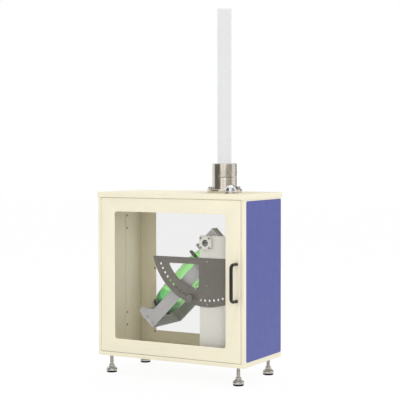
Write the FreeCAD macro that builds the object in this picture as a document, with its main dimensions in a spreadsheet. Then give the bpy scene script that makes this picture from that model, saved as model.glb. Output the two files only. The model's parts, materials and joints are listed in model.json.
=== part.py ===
"""Drop-ball impact tester for bottle caps, millimetres, +Z up.

The origin lies on the floor at the middle of the tester's footprint, door handle included.
A glazed cabinet on levelling feet holds a tilting cradle with a sample bottle. A steel ball
falls down the clear tube on the lid and strikes the cap, which sits on the cradle's pivot.
"""

import FreeCAD, Part

import math
import os

import Sketcher

Vector = FreeCAD.Vector
Rotation = FreeCAD.Rotation
Placement = FreeCAD.Placement

doc = FreeCAD.newDocument("cap_impact_tester")
sheet = doc.addObject("Spreadsheet::Sheet", "Sizes")
made = []


# Sizes

class Size:
    """A number together with the sheet expression that gives it."""

    def __init__(self, number, text):
        self.number = float(number)
        self.text = text

    @staticmethod
    def of(value):
        return value if isinstance(value, Size) else Size(value, "{:.9f}".format(float(value)))

    def _joined(self, other, sign, number):
        return Size(number, "(" + self.text + " " + sign + " " + Size.of(other).text + ")")

    def __add__(self, other):
        return self._joined(other, "+", self.number + Size.of(other).number)

    def __sub__(self, other):
        return self._joined(other, "-", self.number - Size.of(other).number)

    def __mul__(self, other):
        return self._joined(other, "*", self.number * Size.of(other).number)

    def __truediv__(self, other):
        return self._joined(other, "/", self.number / Size.of(other).number)

    def __radd__(self, other):
        return Size.of(other) + self

    def __rsub__(self, other):
        return Size.of(other) - self

    def __rmul__(self, other):
        return Size.of(other) * self

    def __neg__(self):
        return Size(-self.number, "(0 - " + self.text + ")")


SIZES = {
    # Cabinet
    "case_width": 550, "case_depth": 266, "foot_height": 60, "base_height": 13, "door_zone": 517,
    "lid_height": 17, "panel_wall": 1.5, "base_wall": 2, "lid_lip": 2, "post_width": 10,
    "post_depth": 16, "stop_width": 15, "rear_return": 20, "corner_round": 1.2,
    # Door
    "door_gap": 1.5, "door_depth": 14, "door_stile": 54, "door_rail": 45,
    "window_round": 9, "pane_wall": 3, "pane_lap": 11, "gasket_wall": 1, "gasket_set": 1,
    "retainer_wall": 2, "retainer_lap": 5, "retainer_set": 2.5,
    "hinge_inset": 15, "hinge_setback": 6, "hinge_pin_r": 2.95,
    "hinge_play": 0.05, "hinge_collar_r": 4.4, "hinge_collar_wall": 3, "hinge_block_wide": 14,
    "hinge_block_high": 10, "hinge_pin_reach": 9, "hinge_hole_play": 0.4,
    "handle_span": 120, "handle_reach": 40, "handle_wide": 12, "handle_thick": 7,
    "handle_round": 17, "handle_inset": 15.5, "handle_drop": 277.5, "handle_screw_r": 2.5,
    "catch_high": 120, "magnet_long": 40, "magnet_wall": 1.7, "magnet_set": 2,
    "strike_reach": 12.5, "strike_over": 2,
    # Rear wall
    "rear_side": 66, "rear_under_lid": 56, "rear_over_floor": 40, "rear_inset": 6,
    "rear_screw_x": 5, "rear_screw_z": 4.2, "rear_lap": 12,
    # Side walls
    "overlay_front": 15, "overlay_back": 3, "overlay_wall": 0.6, "overlay_round": 8,
    "overlay_rise": 15.7, "overlay_drop": 21.6, "liner_deep": 104, "liner_wall": 1.5,
    "liner_screw_set": 8, "liner_screw_far": 190, "liner_screw_near": 147, "liner_mid_drop": 277,
    "wall_screw_r": 3.4, "wall_screw_wall": 2.2, "wall_shank_r": 1.5,
    # Pivot, columns and quadrant
    "pivot_inset": 149, "pivot_drop": 158, "column_left": 26, "column_right": 84, "column_over": 23,
    "column_wall": 3, "column_inset": 31, "column_flange": 30, "column_hole_r": 12,
    "index_way_r": 5, "foot_screw_r": 4.5, "foot_screw_wall": 3, "foot_screw_in": 18,
    "housing_side": 42, "housing_wall": 12, "housing_round": 6, "housing_lip": 2,
    "housing_window_r": 11, "housing_screw_set": 15.5, "housing_shank_r": 2,
    "housing_screw_r": 3.6, "housing_screw_wall": 2.4, "bearing_r": 16, "bearing_dip": 0.6,
    "shaft_r": 7.95, "shaft_play": 0.05, "shaft_long": 17.5,
    "index_rim_out": 21, "index_rim_in": 28, "quadrant_wall": 3, "quadrant_top": 49,
    "quadrant_bar": 21, "quadrant_web": 28, "quadrant_round": 4, "index_ring_r": 186,
    "index_hole_r": 4, "index_first": 23.3, "index_pitch": 5, "index_count": 18,
    "quadrant_screw_x": 4, "quadrant_screw_top": 11, "quadrant_screw_mid": 21,
    "quadrant_screw_low": 9, "quadrant_screw_r": 4.5, "quadrant_screw_wall": 2.6,
    "quadrant_shank_r": 2.5,
    # Cradle: reach is measured along the bottle from the pivot, near and far square to it
    "rest_tilt": 45, "arm_gap": 9, "arm_wall": 3, "plunger_spare": 1.7, "arm_near": 14,
    "arm_far": 55, "head_reach": 42, "head_near": 24, "head_flange": 32, "head_step": 14,
    "foot_near": 20, "foot_lead": 49, "tab_rise": 15, "tab_out": 47, "tab_before": 18,
    "tab_mid": 12, "tab_after": 32, "index_offset": 28.3, "index_boss_r": 8, "index_gap": 0.3,
    "end_wall": 3, "end_flange": 25, "end_screw_back": 13, "end_screw_near": 16,
    "end_screw_far": 43, "stub_flange_r": 18, "stub_flange_wall": 6, "stub_spigot_r": 10,
    "neck_plate_wall": 5, "neck_plate_play": 0.7, "neck_plate_near": 30, "neck_plate_round": 6,
    "cross_far": 50, "yoke_after": 2, "yoke_wall": 4, "yoke_play": 1.5, "yoke_near": 42,
    "yoke_horn": 19, "yoke_round": 8, "cradle_screw_r": 3.5, "cradle_screw_wall": 2.3, "cradle_shank_r": 1.25,
    "cradle_screw_deep": 9,
    # Toggle clamp
    "plate_r": 37, "plate_wall": 8, "pad_r": 36, "pad_wall": 2, "plunger_r": 6,
    "plunger_play": 0.05, "plunger_stroke": 10, "barrel_r": 10, "clamp_round": 4,
    "barrel_in": 6, "clamp_base_wide": 40, "clamp_base_high": 32, "clamp_base_wall": 4,
    "fork_half": 8, "fork_wall": 3, "fork_long": 16, "fork_far": 8, "lever_pin_side": 24,
    "lever_pin_out": 11, "lever_pin_r": 3, "lever_play": 0.05, "lever_pin_over": 1, "lever_swing": 50,
    "lever_half": 3, "lever_hub_r": 6, "lever_hub_half": 7.7, "lever_long": 46,
    "lever_bend": 12, "lever_fork_wall": 2.2, "lever_fork_long": 14.5, "lever_fork_root": 8.3,
    "link_pin_r": 2, "link_pin_play": 0.4, "lug_in": 4, "lug_out": 7, "lug_half": 4,
    # Bottle
    "bottle_base": 326, "bottle_wall": 0.9, "bottle_gap": 0.3, "shoulder_r": 39.5,
    "waist_r": 29.5, "heel_r": 38.5, "foot_ring_r": 26, "neck_r": 12.8, "neck_ring_r": 16.5,
    "neck_flare": 4.8, "cap_skirt": 2.2, "cap_height": 21.5, "cap_wall": 1.6, "cap_over": 2,
    "cap_flutes": 24, "cap_flute_r": 0.55,
    # Tube, collar and ball
    "tube_shift": 7.5, "tube_r": 24, "tube_wall": 3, "tube_over": 597.5, "tube_play": 0.05,
    "collar_r": 40, "collar_height": 95, "flange_edge": 2, "flange_wall": 12, "collar_lap": 0.5,
    "collar_seat": 6, "collar_slit": 1.6, "collar_slit_up": 51, "clamp_screw_up": 66,
    "clamp_screw_r": 3, "clamp_screw_set": 1, "bolt_out": 8, "bolt_r": 6.5, "bolt_head": 8,
    "bolt_shank_r": 4, "bolt_socket": 6, "bolt_nut": 13, "bolt_nut_high": 6, "bolt_tail": 2,
    "lid_hole_play": 0.5, "ball_r": 19.05, "ball_inset_x": 72, "ball_inset_y": 48,
    "ball_rise": 10, "seat_wall": 3.1, "seat_height": 5, "seat_gap": 0.54, "ball_hole_play": 0.24,
    # Feet
    "foot_inset_x": 34, "foot_inset_y": 27, "stud_r": 5.75, "foot_disc_r": 18.5, "foot_disc_high": 14,
    "foot_pad_r": 17, "foot_pad_high": 6, "stud_hex": 18, "stud_hex_high": 6,
    "stud_play": 0.1, "stud_gap": 0.3, "stud_deep": 6, "weld_nut_r": 10, "weld_nut_high": 10,
    # Index pin
    "knob_r": 10, "knob_long": 10, "pin_rest": 0.5, "pin_travel": 7, "pin_play": 0.05,
    "knob_gap": 0.2, "knob_deep": 6, "knob_flute_r": 1, "knob_flutes": 16,
    # Broken edges of turned pieces
    "edge_break": 1,
}


def write_sheet():
    """One row for each size, with its name in column A and its number in column B."""
    for row, (alias, number) in enumerate(SIZES.items(), start=1):
        sheet.set("A" + str(row), alias.replace("_", " "))
        sheet.set("B" + str(row), str(number))
        sheet.setAlias("B" + str(row), alias)
    doc.recompute()


def size(alias):
    return Size(SIZES[alias], "Sizes." + alias)


write_sheet()
ZERO = Size.of(0)
X_AXIS, Y_AXIS, Z_AXIS = Vector(1, 0, 0), Vector(0, 1, 0), Vector(0, 0, 1)


# Shared helpers

def bind(thing, path, value):
    thing.setExpression(path, Size.of(value).text)


def keep(thing, label):
    """Marks a finished sub-part: its label is its file's name."""
    thing.Label = label
    made.append(thing)
    return thing


def move(thing, x=ZERO, y=ZERO, z=ZERO, turn=None):
    """Places a thing, with each coordinate bound to the sheet."""
    x, y, z = Size.of(x), Size.of(y), Size.of(z)
    thing.Placement = Placement(Vector(x.number, y.number, z.number), turn or Rotation())
    for axis, value in zip("xyz", (x, y, z)):
        bind(thing, "Placement.Base." + axis, value)
    return thing


# Turns that lay a thing's own +Z along another direction
ALONG = {
    "x": Rotation(Y_AXIS, 90), "-x": Rotation(Y_AXIS, -90), "y": Rotation(X_AXIS, -90),
    "-y": Rotation(X_AXIS, 90), "z": Rotation(), "-z": Rotation(X_AXIS, 180),
}


def block(name, dx, dy, dz, x=ZERO, y=ZERO, z=ZERO):
    """A box from its low corner."""
    box = doc.addObject("Part::Box", name)
    for path, value in (("Length", dx), ("Width", dy), ("Height", dz)):
        bind(box, path, value)
    return move(box, x, y, z)


def rod(name, radius, length, x=ZERO, y=ZERO, z=ZERO, along="z"):
    """A cylinder from the middle of its low end."""
    cylinder = doc.addObject("Part::Cylinder", name)
    bind(cylinder, "Radius", radius)
    bind(cylinder, "Height", length)
    return move(cylinder, x, y, z, ALONG[along])


def hexagon(name, across, length, z=ZERO):
    """A hexagonal prism by its width across the flats."""
    prism = doc.addObject("Part::Prism", name)
    prism.Polygon = 6
    bind(prism, "Circumradius", Size.of(across) / math.sqrt(3))
    bind(prism, "Height", length)
    return move(prism, z=z)


def joined(name, *pieces):
    if len(pieces) == 1:
        return pieces[0]
    union = doc.addObject("Part::MultiFuse", name)
    union.Shapes = list(pieces)
    return union


def group(name, *pieces):
    """Separate solids in one sub-part."""
    bundle = doc.addObject("Part::Compound", name)
    bundle.Links = list(pieces)
    return bundle


def minus(name, base, *tools):
    cut = doc.addObject("Part::Cut", name)
    cut.Base = base
    cut.Tool = tools[0] if len(tools) == 1 else joined(name + "_tools", *tools)
    return cut


class Body:
    """A PartDesign body with sketches drawn from bound sizes."""

    def __init__(self, name):
        self.body = doc.addObject("PartDesign::Body", name)
        self.name = name
        self.steps = 0

    def _next(self, word):
        self.steps += 1
        return self.name + "_" + word + str(self.steps)

    def sketch(self, role, offset=ZERO):
        """A sketch on the XY, XZ or YZ plane, moved along that plane's normal."""
        planes = self.body.Origin.OriginFeatures
        plane = next(feature for feature in planes if feature.Role == role + "_Plane")
        drawing = self.body.newObject("Sketcher::SketchObject", self._next("sketch"))
        drawing.AttachmentSupport = [(plane, "")]
        drawing.MapMode = "FlatFace"
        drawing.AttachmentOffset = Placement(Vector(0, 0, Size.of(offset).number), Rotation())
        bind(drawing, "AttachmentOffset.Base.z", offset)
        return drawing

    def pad(self, drawing, length, back=False):
        feature = self.body.newObject("PartDesign::Pad", self._next("pad"))
        feature.Profile = drawing
        bind(feature, "Length", length)
        feature.Reversed = back
        doc.recompute()
        return feature

    def pocket(self, drawing, length=None, back=False):
        """Cuts to a depth, or right through where no depth is given."""
        before = self.body.Shape.Volume
        feature = self.body.newObject("PartDesign::Pocket", self._next("pocket"))
        feature.Profile = drawing
        if length is None:
            feature.Type = "ThroughAll"
        else:
            bind(feature, "Length", length)
        feature.Reversed = back
        doc.recompute()
        if self.body.Shape.Volume >= before:
            raise ValueError(feature.Name + " cuts nothing")
        return feature

    def revolve(self, drawing):
        feature = self.body.newObject("PartDesign::Revolution", self._next("revolution"))
        feature.Profile = drawing
        feature.ReferenceAxis = (drawing, ["V_Axis"])
        feature.Angle = 360
        doc.recompute()
        return feature

    def fillet(self, radius, chosen):
        """Rounds the edges of the last feature for which chosen(edge) holds."""
        doc.recompute()
        tip = self.body.Tip
        names = ["Edge" + str(i + 1) for i, edge in enumerate(tip.Shape.Edges) if chosen(edge)]
        if not names:
            raise ValueError(self.name + " has no such edge to round")
        feature = self.body.newObject("PartDesign::Fillet", self._next("fillet"))
        feature.Base = (tip, names)
        bind(feature, "Radius", radius)
        doc.recompute()
        return feature


def tie(drawing, constraint, value):
    """Adds a constraint whose number is bound to the sheet."""
    index = drawing.addConstraint(constraint)
    bind(drawing, "Constraints[" + str(index) + "]", value)


def outline(drawing, corners):
    """A closed run of straight lines through corners, each coordinate bound."""
    first = drawing.GeometryCount
    spots = [(Size.of(x), Size.of(y)) for x, y in corners]
    count = len(spots)
    for i in range(count):
        (ax, ay), (bx, by) = spots[i], spots[(i + 1) % count]
        start, end = Vector(ax.number, ay.number, 0), Vector(bx.number, by.number, 0)
        drawing.addGeometry(Part.LineSegment(start, end), False)
    for i in range(count):
        following = first + (i + 1) % count
        drawing.addConstraint(Sketcher.Constraint("Coincident", first + i, 2, following, 1))
    for i, spot in enumerate(spots):
        for kind, value in zip(("DistanceX", "DistanceY"), spot):
            tie(drawing, Sketcher.Constraint(kind, -1, 1, first + i, 1, value.number), value)


def rectangle(drawing, wide, high, x=ZERO, y=ZERO):
    """A rectangle by its middle."""
    wide, high = Size.of(wide), Size.of(high)
    left, right = x - wide / 2, x + wide / 2
    low, upper = y - high / 2, y + high / 2
    outline(drawing, [(left, low), (right, low), (right, upper), (left, upper)])


def circle(drawing, radius, x=ZERO, y=ZERO):
    x, y, radius = Size.of(x), Size.of(y), Size.of(radius)
    ring = Part.Circle(Vector(x.number, y.number, 0), Vector(0, 0, 1), radius.number)
    at = drawing.addGeometry(ring, False)
    for kind, value in (("DistanceX", x), ("DistanceY", y)):
        tie(drawing, Sketcher.Constraint(kind, -1, 1, at, 3, value.number), value)
    tie(drawing, Sketcher.Constraint("Radius", at, radius.number), radius)


def turned(name, profile):
    """A body turned about its Z axis from (radius, height) corners."""
    body = Body(name)
    drawing = body.sketch("XZ")
    outline(drawing, profile)
    body.revolve(drawing)
    return body.body


def along_axis(edge, axis):
    """Whether an edge is straight and parallel to an axis."""
    if edge.Curve.TypeId != "Part::GeomLine":
        return False
    direction = edge.tangentAt(edge.FirstParameter)
    return abs(abs(direction.dot(axis)) - 1) < 1e-6


def at_spots(axis, *spots):
    """Chooses the edges parallel to an axis that stand on one of several (a, b) spots."""
    def chosen(edge):
        if not along_axis(edge, axis):
            return False
        point = edge.Vertexes[0].Point
        pair = [value for value, used in zip(point, axis) if not used]
        return any(math.hypot(pair[0] - a, pair[1] - b) < 0.05 for a, b in numbers)
    numbers = [(Size.of(a).number, Size.of(b).number) for a, b in spots]
    return chosen


def corners_of(wide, high, x=ZERO, y=ZERO):
    """The four corners of a rectangle by its middle."""
    return [(x + a * wide / 2, y + b * high / 2) for a in (-1, 1) for b in (-1, 1)]


def screw(name, head_r, head_high, shank_r, length, spot, facing):
    """A domed screw with its head's underside at a spot; its head faces the given way."""
    dome = [(ZERO, ZERO), (head_r, ZERO), (head_r, head_high * 0.45),
            (head_r * 0.8, head_high * 0.85), (head_r * 0.4, head_high), (ZERO, head_high)]
    head = turned(name + "_head", dome)
    socket = hexagon(name + "_socket", head_r * 0.8, head_high, z=head_high * 0.5)
    shank = rod(name + "_shank", shank_r, length, z=-length)
    whole = minus(name, joined(name + "_whole", head, shank), socket)
    return move(whole, *spot, turn=ALONG[facing])


# Levels and lines that several pieces share

half_wide = size("case_width") / 2
half_deep = size("case_depth") / 2
case_mid = (size("handle_reach") - size("lid_lip")) / 2
base_bottom = size("foot_height")
floor = base_bottom + size("base_height")
seam = floor + size("door_zone")
top = seam + size("lid_height")
wall = size("panel_wall")
lid_under = top - wall
walls_high = lid_under - floor
pivot_x = half_wide - size("pivot_inset")
tube_x = pivot_x + size("tube_shift")
pivot_z = top - size("pivot_drop")
door_half = half_wide - size("post_width") - size("door_gap")
door_low = floor + size("door_gap")
door_high = seam - size("door_gap")
door_mid = (door_low + door_high) / 2
window_wide = 2 * (door_half - size("door_stile"))
window_high = door_high - door_low - 2 * size("door_rail")
handle_x = door_half - size("handle_inset")
handle_z = top - size("handle_drop")
hinge_x = -door_half + size("hinge_inset")
hinge_y = -half_deep + size("hinge_setback")
stop_back = -half_deep + size("post_depth")
column_y = half_deep - size("column_inset")
ball_x = half_wide - size("ball_inset_x")
ball_y = half_deep - size("ball_inset_y")


def stand(thing, x=ZERO, y=ZERO, z=ZERO, turn=None):
    """Places a sub-part from the cabinet's own middle, which the handle sets back a little."""
    return move(thing, x, case_mid + y, z, turn)


# Cabinet shell

def base_pan():
    """The floor of the cabinet: a shallow pan, open underneath, with a hole for the hinge pin."""
    thick = size("base_wall")
    pan = Body("base_pan")
    drawing = pan.sketch("XY")
    rectangle(drawing, size("case_width"), size("case_depth"))
    pan.pad(drawing, size("base_height"))
    pan.fillet(size("corner_round"), lambda edge: along_axis(edge, Z_AXIS))
    hollow = pan.sketch("XY")
    rectangle(hollow, size("case_width") - 2 * thick, size("case_depth") - 2 * thick)
    pan.pocket(hollow, size("base_height") - thick, back=True)
    hole = pan.sketch("XY")
    circle(hole, size("hinge_pin_r") + size("hinge_hole_play"), hinge_x, hinge_y)
    pan.pocket(hole, back=True)
    stand(pan.body, z=base_bottom)
    keep(pan.body, "base_pan")


def side_panel(label, side, with_stop):
    """A folded side wall: a post in front, a return at the back and, on one side, a door stop."""
    outer, inner = side * half_wide, side * (half_wide - wall)
    post = side * (half_wide - size("post_width"))
    post_back = post + side * wall
    corners = [(outer, half_deep), (outer, -half_deep), (post, -half_deep)]
    if with_stop:
        stop = post - side * size("stop_width")
        corners += [(post, stop_back), (stop, stop_back), (stop, stop_back + wall),
                    (post_back, stop_back + wall)]
    else:
        corners += [(post, stop_back), (post_back, stop_back)]
    rear = side * (half_wide - size("rear_return"))
    corners += [(post_back, -half_deep + wall), (inner, -half_deep + wall),
                (inner, half_deep - wall), (rear, half_deep - wall), (rear, half_deep)]
    panel = Body(label)
    drawing = panel.sketch("XY")
    outline(drawing, corners)
    panel.pad(drawing, walls_high)
    stand(panel.body, z=floor)
    keep(panel.body, label)


bolt_ring = size("collar_r") + size("bolt_out")


def bolt_spots():
    """The four bolts of the collar's flange, at 45 degrees to the cabinet's sides."""
    reach = bolt_ring * math.sqrt(0.5)
    return [(a * reach, b * reach) for a in (-1, 1) for b in (-1, 1)]


collar_bore = size("tube_r") - size("tube_wall") + size("collar_lap")


def seat_bore(level):
    """The bore of the ball's seat at a height over the lid, a gap clear of the parked ball."""
    below = SIZES["ball_rise"] - level
    return Size.of(math.sqrt(SIZES["ball_r"] ** 2 - below ** 2)) + size("seat_gap")


def lid_cap():
    """The lid: a pan turned over the walls, with holes for the collar, its bolts and the ball."""
    lip = size("lid_lip")
    lid = Body("lid_cap")
    drawing = lid.sketch("XY")
    rectangle(drawing, size("case_width") + 2 * lip, size("case_depth") + 2 * lip)
    lid.pad(drawing, size("lid_height"))
    lid.fillet(size("corner_round"), lambda edge: along_axis(edge, Z_AXIS))
    hollow = lid.sketch("XY")
    play = 2 * (lip - wall)
    rectangle(hollow, size("case_width") + play, size("case_depth") + play)
    lid.pocket(hollow, size("lid_height") - wall, back=True)
    holes = lid.sketch("XY")
    circle(holes, collar_bore + size("lid_hole_play"), tube_x)
    for x, y in bolt_spots():
        circle(holes, size("bolt_shank_r"), tube_x + x, y)
    circle(holes, seat_bore(0) + size("ball_hole_play"), ball_x, -ball_y)
    lid.pocket(holes, back=True)
    stand(lid.body, z=seam)
    keep(lid.body, "lid_cap")


rear_upper, rear_lower = top - size("rear_under_lid"), floor + size("rear_over_floor")
rear_mid = (rear_upper + rear_lower) / 2
rear_wide, rear_high = 2 * (half_wide - size("rear_side")), rear_upper - rear_lower


def rear_screw_spots():
    """Three screws up each side of the rear opening, as x and height."""
    x = rear_wide / 2 + size("rear_screw_x")
    z = rear_high / 2 + size("rear_screw_z")
    return [(a * x, rear_mid + b * z) for a in (-1, 1) for b in (-1, 0, 1)]


def rear_frame():
    """The rear wall: a shallow tray with a large opening, set in from the back edges."""
    wide = size("case_width") - 2 * wall
    middle = (lid_under + floor) / 2
    plane = -(half_deep - size("rear_inset"))
    frame = Body("rear_frame")
    web = frame.sketch("XZ", plane)
    rectangle(web, wide, walls_high, y=middle)
    rectangle(web, rear_wide, rear_high, y=rear_mid)
    for x, z in rear_screw_spots():
        circle(web, size("wall_shank_r"), x, z)
    frame.pad(web, wall, back=True)
    rim = frame.sketch("XZ", plane)
    rectangle(rim, wide, walls_high, y=middle)
    rectangle(rim, wide - 2 * wall, walls_high - 2 * wall, y=middle)
    frame.pad(rim, size("rear_inset") - wall, back=True)
    stand(frame.body)
    keep(frame.body, "rear_frame")


def rear_pane():
    """The clear rear pane, screwed to the outside of the rear wall."""
    lap = 2 * size("rear_lap")
    pane = Body("rear_pane")
    drawing = pane.sketch("XZ", -(half_deep - size("rear_inset") + wall))
    rectangle(drawing, rear_wide + lap, rear_high + lap, y=rear_mid)
    for x, z in rear_screw_spots():
        circle(drawing, size("wall_shank_r"), x, z)
    pane.pad(drawing, size("pane_wall"), back=True)
    stand(pane.body)
    keep(pane.body, "rear_pane")


liner_x = -half_wide + wall + size("liner_wall")
liner_front = half_deep - size("liner_deep")
liner_screw_y = liner_front + size("liner_screw_set")
liner_mid = top - size("liner_mid_drop")
liner_levels = [liner_mid - size("liner_screw_far"), liner_mid - size("liner_screw_near"),
                liner_mid + size("liner_screw_near"), liner_mid + size("liner_screw_far")]


def wall_liner():
    """A liner over the back half of the left wall; its front edge is the seam in view."""
    back = half_deep - size("rear_inset")
    liner = Body("wall_liner")
    drawing = liner.sketch("YZ", liner_x - size("liner_wall"))
    deep = back - liner_front
    rectangle(drawing, deep, walls_high, (back + liner_front) / 2, (lid_under + floor) / 2)
    for z in liner_levels:
        circle(drawing, size("wall_shank_r"), liner_screw_y, z)
    liner.pad(drawing, size("liner_wall"))
    stand(liner.body)
    keep(liner.body, "wall_liner")


def panel_screws():
    """The screws of the rear pane and of the left wall's liner."""
    head, high, shank = size("wall_screw_r"), size("wall_screw_wall"), size("wall_shank_r")
    screws = []
    back = half_deep - size("rear_inset")
    for i, (x, z) in enumerate(rear_screw_spots()):
        screws.append(screw("rear_screw" + str(i), head, high, shank, wall + size("pane_wall"),
                            (x, back, z), "-y"))
    for i, z in enumerate(liner_levels):
        screws.append(screw("liner_screw" + str(i), head, high, shank, size("liner_wall"),
                            (liner_x, liner_screw_y, z), "x"))
    keep(stand(group("panel_screws", *screws)), "panel_screws")


def side_overlay():
    """The coloured sheet on the right wall, with rounded corners and nothing printed on it."""
    front, back = size("overlay_front"), size("overlay_back")
    wide = size("case_depth") - front - back
    high = top - base_bottom - size("overlay_rise") - size("overlay_drop")
    overlay = Body("side_overlay")
    drawing = overlay.sketch("YZ", half_wide)
    rectangle(drawing, wide, high, (front - back) / 2)
    overlay.pad(drawing, size("overlay_wall"))
    overlay.fillet(size("overlay_round"), lambda edge: along_axis(edge, X_AXIS))
    stand(overlay.body, z=base_bottom + size("overlay_rise") + high / 2)
    keep(overlay.body, "side_overlay")


# Door

def door_frame():
    """The door: a folded pan with a rounded window and holes for pins and handle screws."""
    wide, high = 2 * door_half, door_high - door_low
    door = Body("door_frame")
    skin = door.sketch("XZ")
    rectangle(skin, wide, high)
    rectangle(skin, window_wide, window_high)
    for side in (-1, 1):
        circle(skin, size("handle_screw_r"), handle_x,
               handle_z - door_mid + side * size("handle_span") / 2)
    door.pad(skin, wall, back=True)
    rim = door.sketch("XZ")
    rectangle(rim, wide, high)
    rectangle(rim, wide - 2 * wall, high - 2 * wall)
    door.pad(rim, size("door_depth"), back=True)
    door.fillet(size("window_round"), at_spots(
        Y_AXIS, *corners_of(window_wide, window_high)))
    for back in (False, True):
        pins = door.sketch("XY")
        circle(pins, size("hinge_pin_r"), hinge_x, size("hinge_setback"))
        door.pocket(pins, back=back)
    stand(door.body, y=-half_deep, z=door_mid)
    keep(door.body, "door_frame")


def flat_ring(label, spare, inner_spare, thick, y):
    """A flat ring round the door's window."""
    wide, high = window_wide, window_high
    ring = Body(label)
    drawing = ring.sketch("XZ")
    rectangle(drawing, wide + 2 * spare, high + 2 * spare)
    inner_wide, inner_high = wide + 2 * inner_spare, high + 2 * inner_spare
    rectangle(drawing, inner_wide, inner_high)
    ring.pad(drawing, thick, back=True)
    ring.fillet(size("window_round"), at_spots(Y_AXIS, *corners_of(inner_wide, inner_high)))
    stand(ring.body, y=y, z=door_mid)
    keep(ring.body, label)


def door_glazing():
    """The rubber gasket, the clear pane and the ring that holds them behind the skin."""
    lap = size("pane_lap")
    y = -half_deep + wall
    flat_ring("pane_gasket", lap, size("gasket_set"), size("gasket_wall"), y)
    y = y + size("gasket_wall")
    pane = Body("door_pane")
    drawing = pane.sketch("XZ")
    rectangle(drawing, window_wide + 2 * lap, window_high + 2 * lap)
    pane.pad(drawing, size("pane_wall"), back=True)
    stand(pane.body, y=y, z=door_mid)
    keep(pane.body, "door_pane")
    flat_ring("pane_retainer", lap + size("retainer_lap"), size("retainer_set"),
              size("retainer_wall"), y + size("pane_wall"))


def door_handle():
    """The bow handle: a flat bar bent in two round corners, its feet on the door's skin."""
    reach, thick = size("handle_reach"), size("handle_thick")
    half = (size("handle_span") + thick) / 2
    bow = Body("door_handle")
    drawing = bow.sketch("YZ", -size("handle_wide") / 2)
    outline(drawing, [
        (ZERO, -half), (-reach, -half), (-reach, half), (ZERO, half), (ZERO, half - thick),
        (-reach + thick, half - thick), (-reach + thick, -half + thick), (ZERO, -half + thick)])
    bow.pad(drawing, size("handle_wide"))
    bow.fillet(size("handle_round"), at_spots(X_AXIS, (-reach, -half), (-reach, half)))
    bow.fillet(size("handle_round") - thick, at_spots(
        X_AXIS, (-reach + thick, -half + thick), (-reach + thick, half - thick)))
    taps = bow.sketch("XZ")
    for side in (-1, 1):
        circle(taps, size("handle_screw_r"), ZERO, side * size("handle_span") / 2)
    bow.pocket(taps, 2 * thick, back=True)
    stand(bow.body, x=handle_x, y=-half_deep, z=handle_z)
    keep(bow.body, "door_handle")


def handle_screws():
    screws = []
    for i, side in enumerate((-1, 1)):
        spot = (handle_x, -half_deep + wall, handle_z + side * size("handle_span") / 2)
        screws.append(screw("handle_screw" + str(i), 2 * size("handle_screw_r"),
                            size("wall_screw_wall") * 1.3, size("handle_screw_r"),
                            wall + 1.9 * size("handle_thick"), spot, "y"))
    keep(stand(group("handle_screws", *screws)), "handle_screws")


def door_pivot_pins():
    """The door's pivot pins, with collars that bear on the pan's returns."""
    reach, collar = size("hinge_pin_reach"), size("hinge_collar_wall")
    pins = []
    for name, level, way in (("low", door_low, 1), ("high", door_high, -1)):
        start = level - reach if way > 0 else level - wall - collar
        pin = rod("hinge_pin_" + name, size("hinge_pin_r"), reach + wall + collar, z=start)
        collar_z = level + wall if way > 0 else level - wall - collar
        ring = rod("hinge_collar_" + name, size("hinge_collar_r"), collar, z=collar_z)
        pins.append(joined("hinge_pin_whole_" + name, pin, ring))
    keep(stand(group("door_pivot_pins", *pins), x=hinge_x, y=hinge_y), "door_pivot_pins")


def hinge_block(name, low, high):
    """A block with a bore for a hinge pin, upright on the hinge's axis."""
    wide, deep = size("hinge_block_wide"), 2 * (size("hinge_setback") - size("base_wall"))
    block_body = Body(name)
    drawing = block_body.sketch("XY", low)
    rectangle(drawing, wide, deep)
    circle(drawing, size("hinge_pin_r") + size("hinge_play"))
    block_body.pad(drawing, high - low)
    return block_body.body


def door_pivot_bushes():
    """The pivot blocks of the door: one under the floor, one hung under the lid."""
    plate = floor - size("base_wall")
    low = hinge_block("low_bush", plate - size("hinge_block_high"), plate)
    high = hinge_block("high_bush", seam, lid_under)
    bushes = group("door_pivot_bushes", low, high)
    keep(stand(bushes, x=hinge_x, y=hinge_y), "door_pivot_bushes")


def door_catch():
    """A magnet on the right stop, and its steel strike plate inside the door's edge."""
    inset = size("magnet_set")
    magnet = block("door_magnet", size("stop_width") - 2 * inset, size("magnet_wall"),
                   size("magnet_long"))
    level = door_mid + size("catch_high")
    stop_inner = half_wide - size("post_width") - size("stop_width")
    stand(magnet, stop_inner + inset, stop_back - size("magnet_wall"), level - size("magnet_long") / 2)
    keep(magnet, "door_magnet")
    strike = Body("strike_plate")
    drawing = strike.sketch("XY")
    edge, back = door_half - wall, -half_deep + size("door_depth")
    reach, over = size("strike_reach"), size("strike_over")
    outline(drawing, [
        (edge, -half_deep + wall), (edge, back), (edge - reach, back), (edge - reach, back - wall),
        (edge - wall, back - wall), (edge - wall, -half_deep + wall)])
    strike.pad(drawing, size("magnet_long") + 2 * over)
    stand(strike.body, z=level - size("magnet_long") / 2 - over)
    keep(strike.body, "strike_plate")


# Pivot columns, quadrant and bearings. "way" is 1 for the front one and -1 for the rear one.

def housing_screw_spots():
    reach = size("housing_screw_set")
    return [(a * reach, b * reach) for a in (-1, 1) for b in (-1, 1)]


def index_spots(first=0):
    """The index holes about the pivot, from a given one on, as x and height."""
    spots = []
    for i in range(first, int(SIZES["index_count"])):
        angle = math.radians(SIZES["index_first"] + SIZES["index_pitch"] * i)
        ring = size("index_ring_r")
        spots.append((ring * -math.cos(angle), ring * -math.sin(angle)))
    return spots


quadrant_r = size("index_ring_r") + size("index_rim_out")
quadrant_inner_r = size("index_ring_r") - size("index_rim_in")


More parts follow.
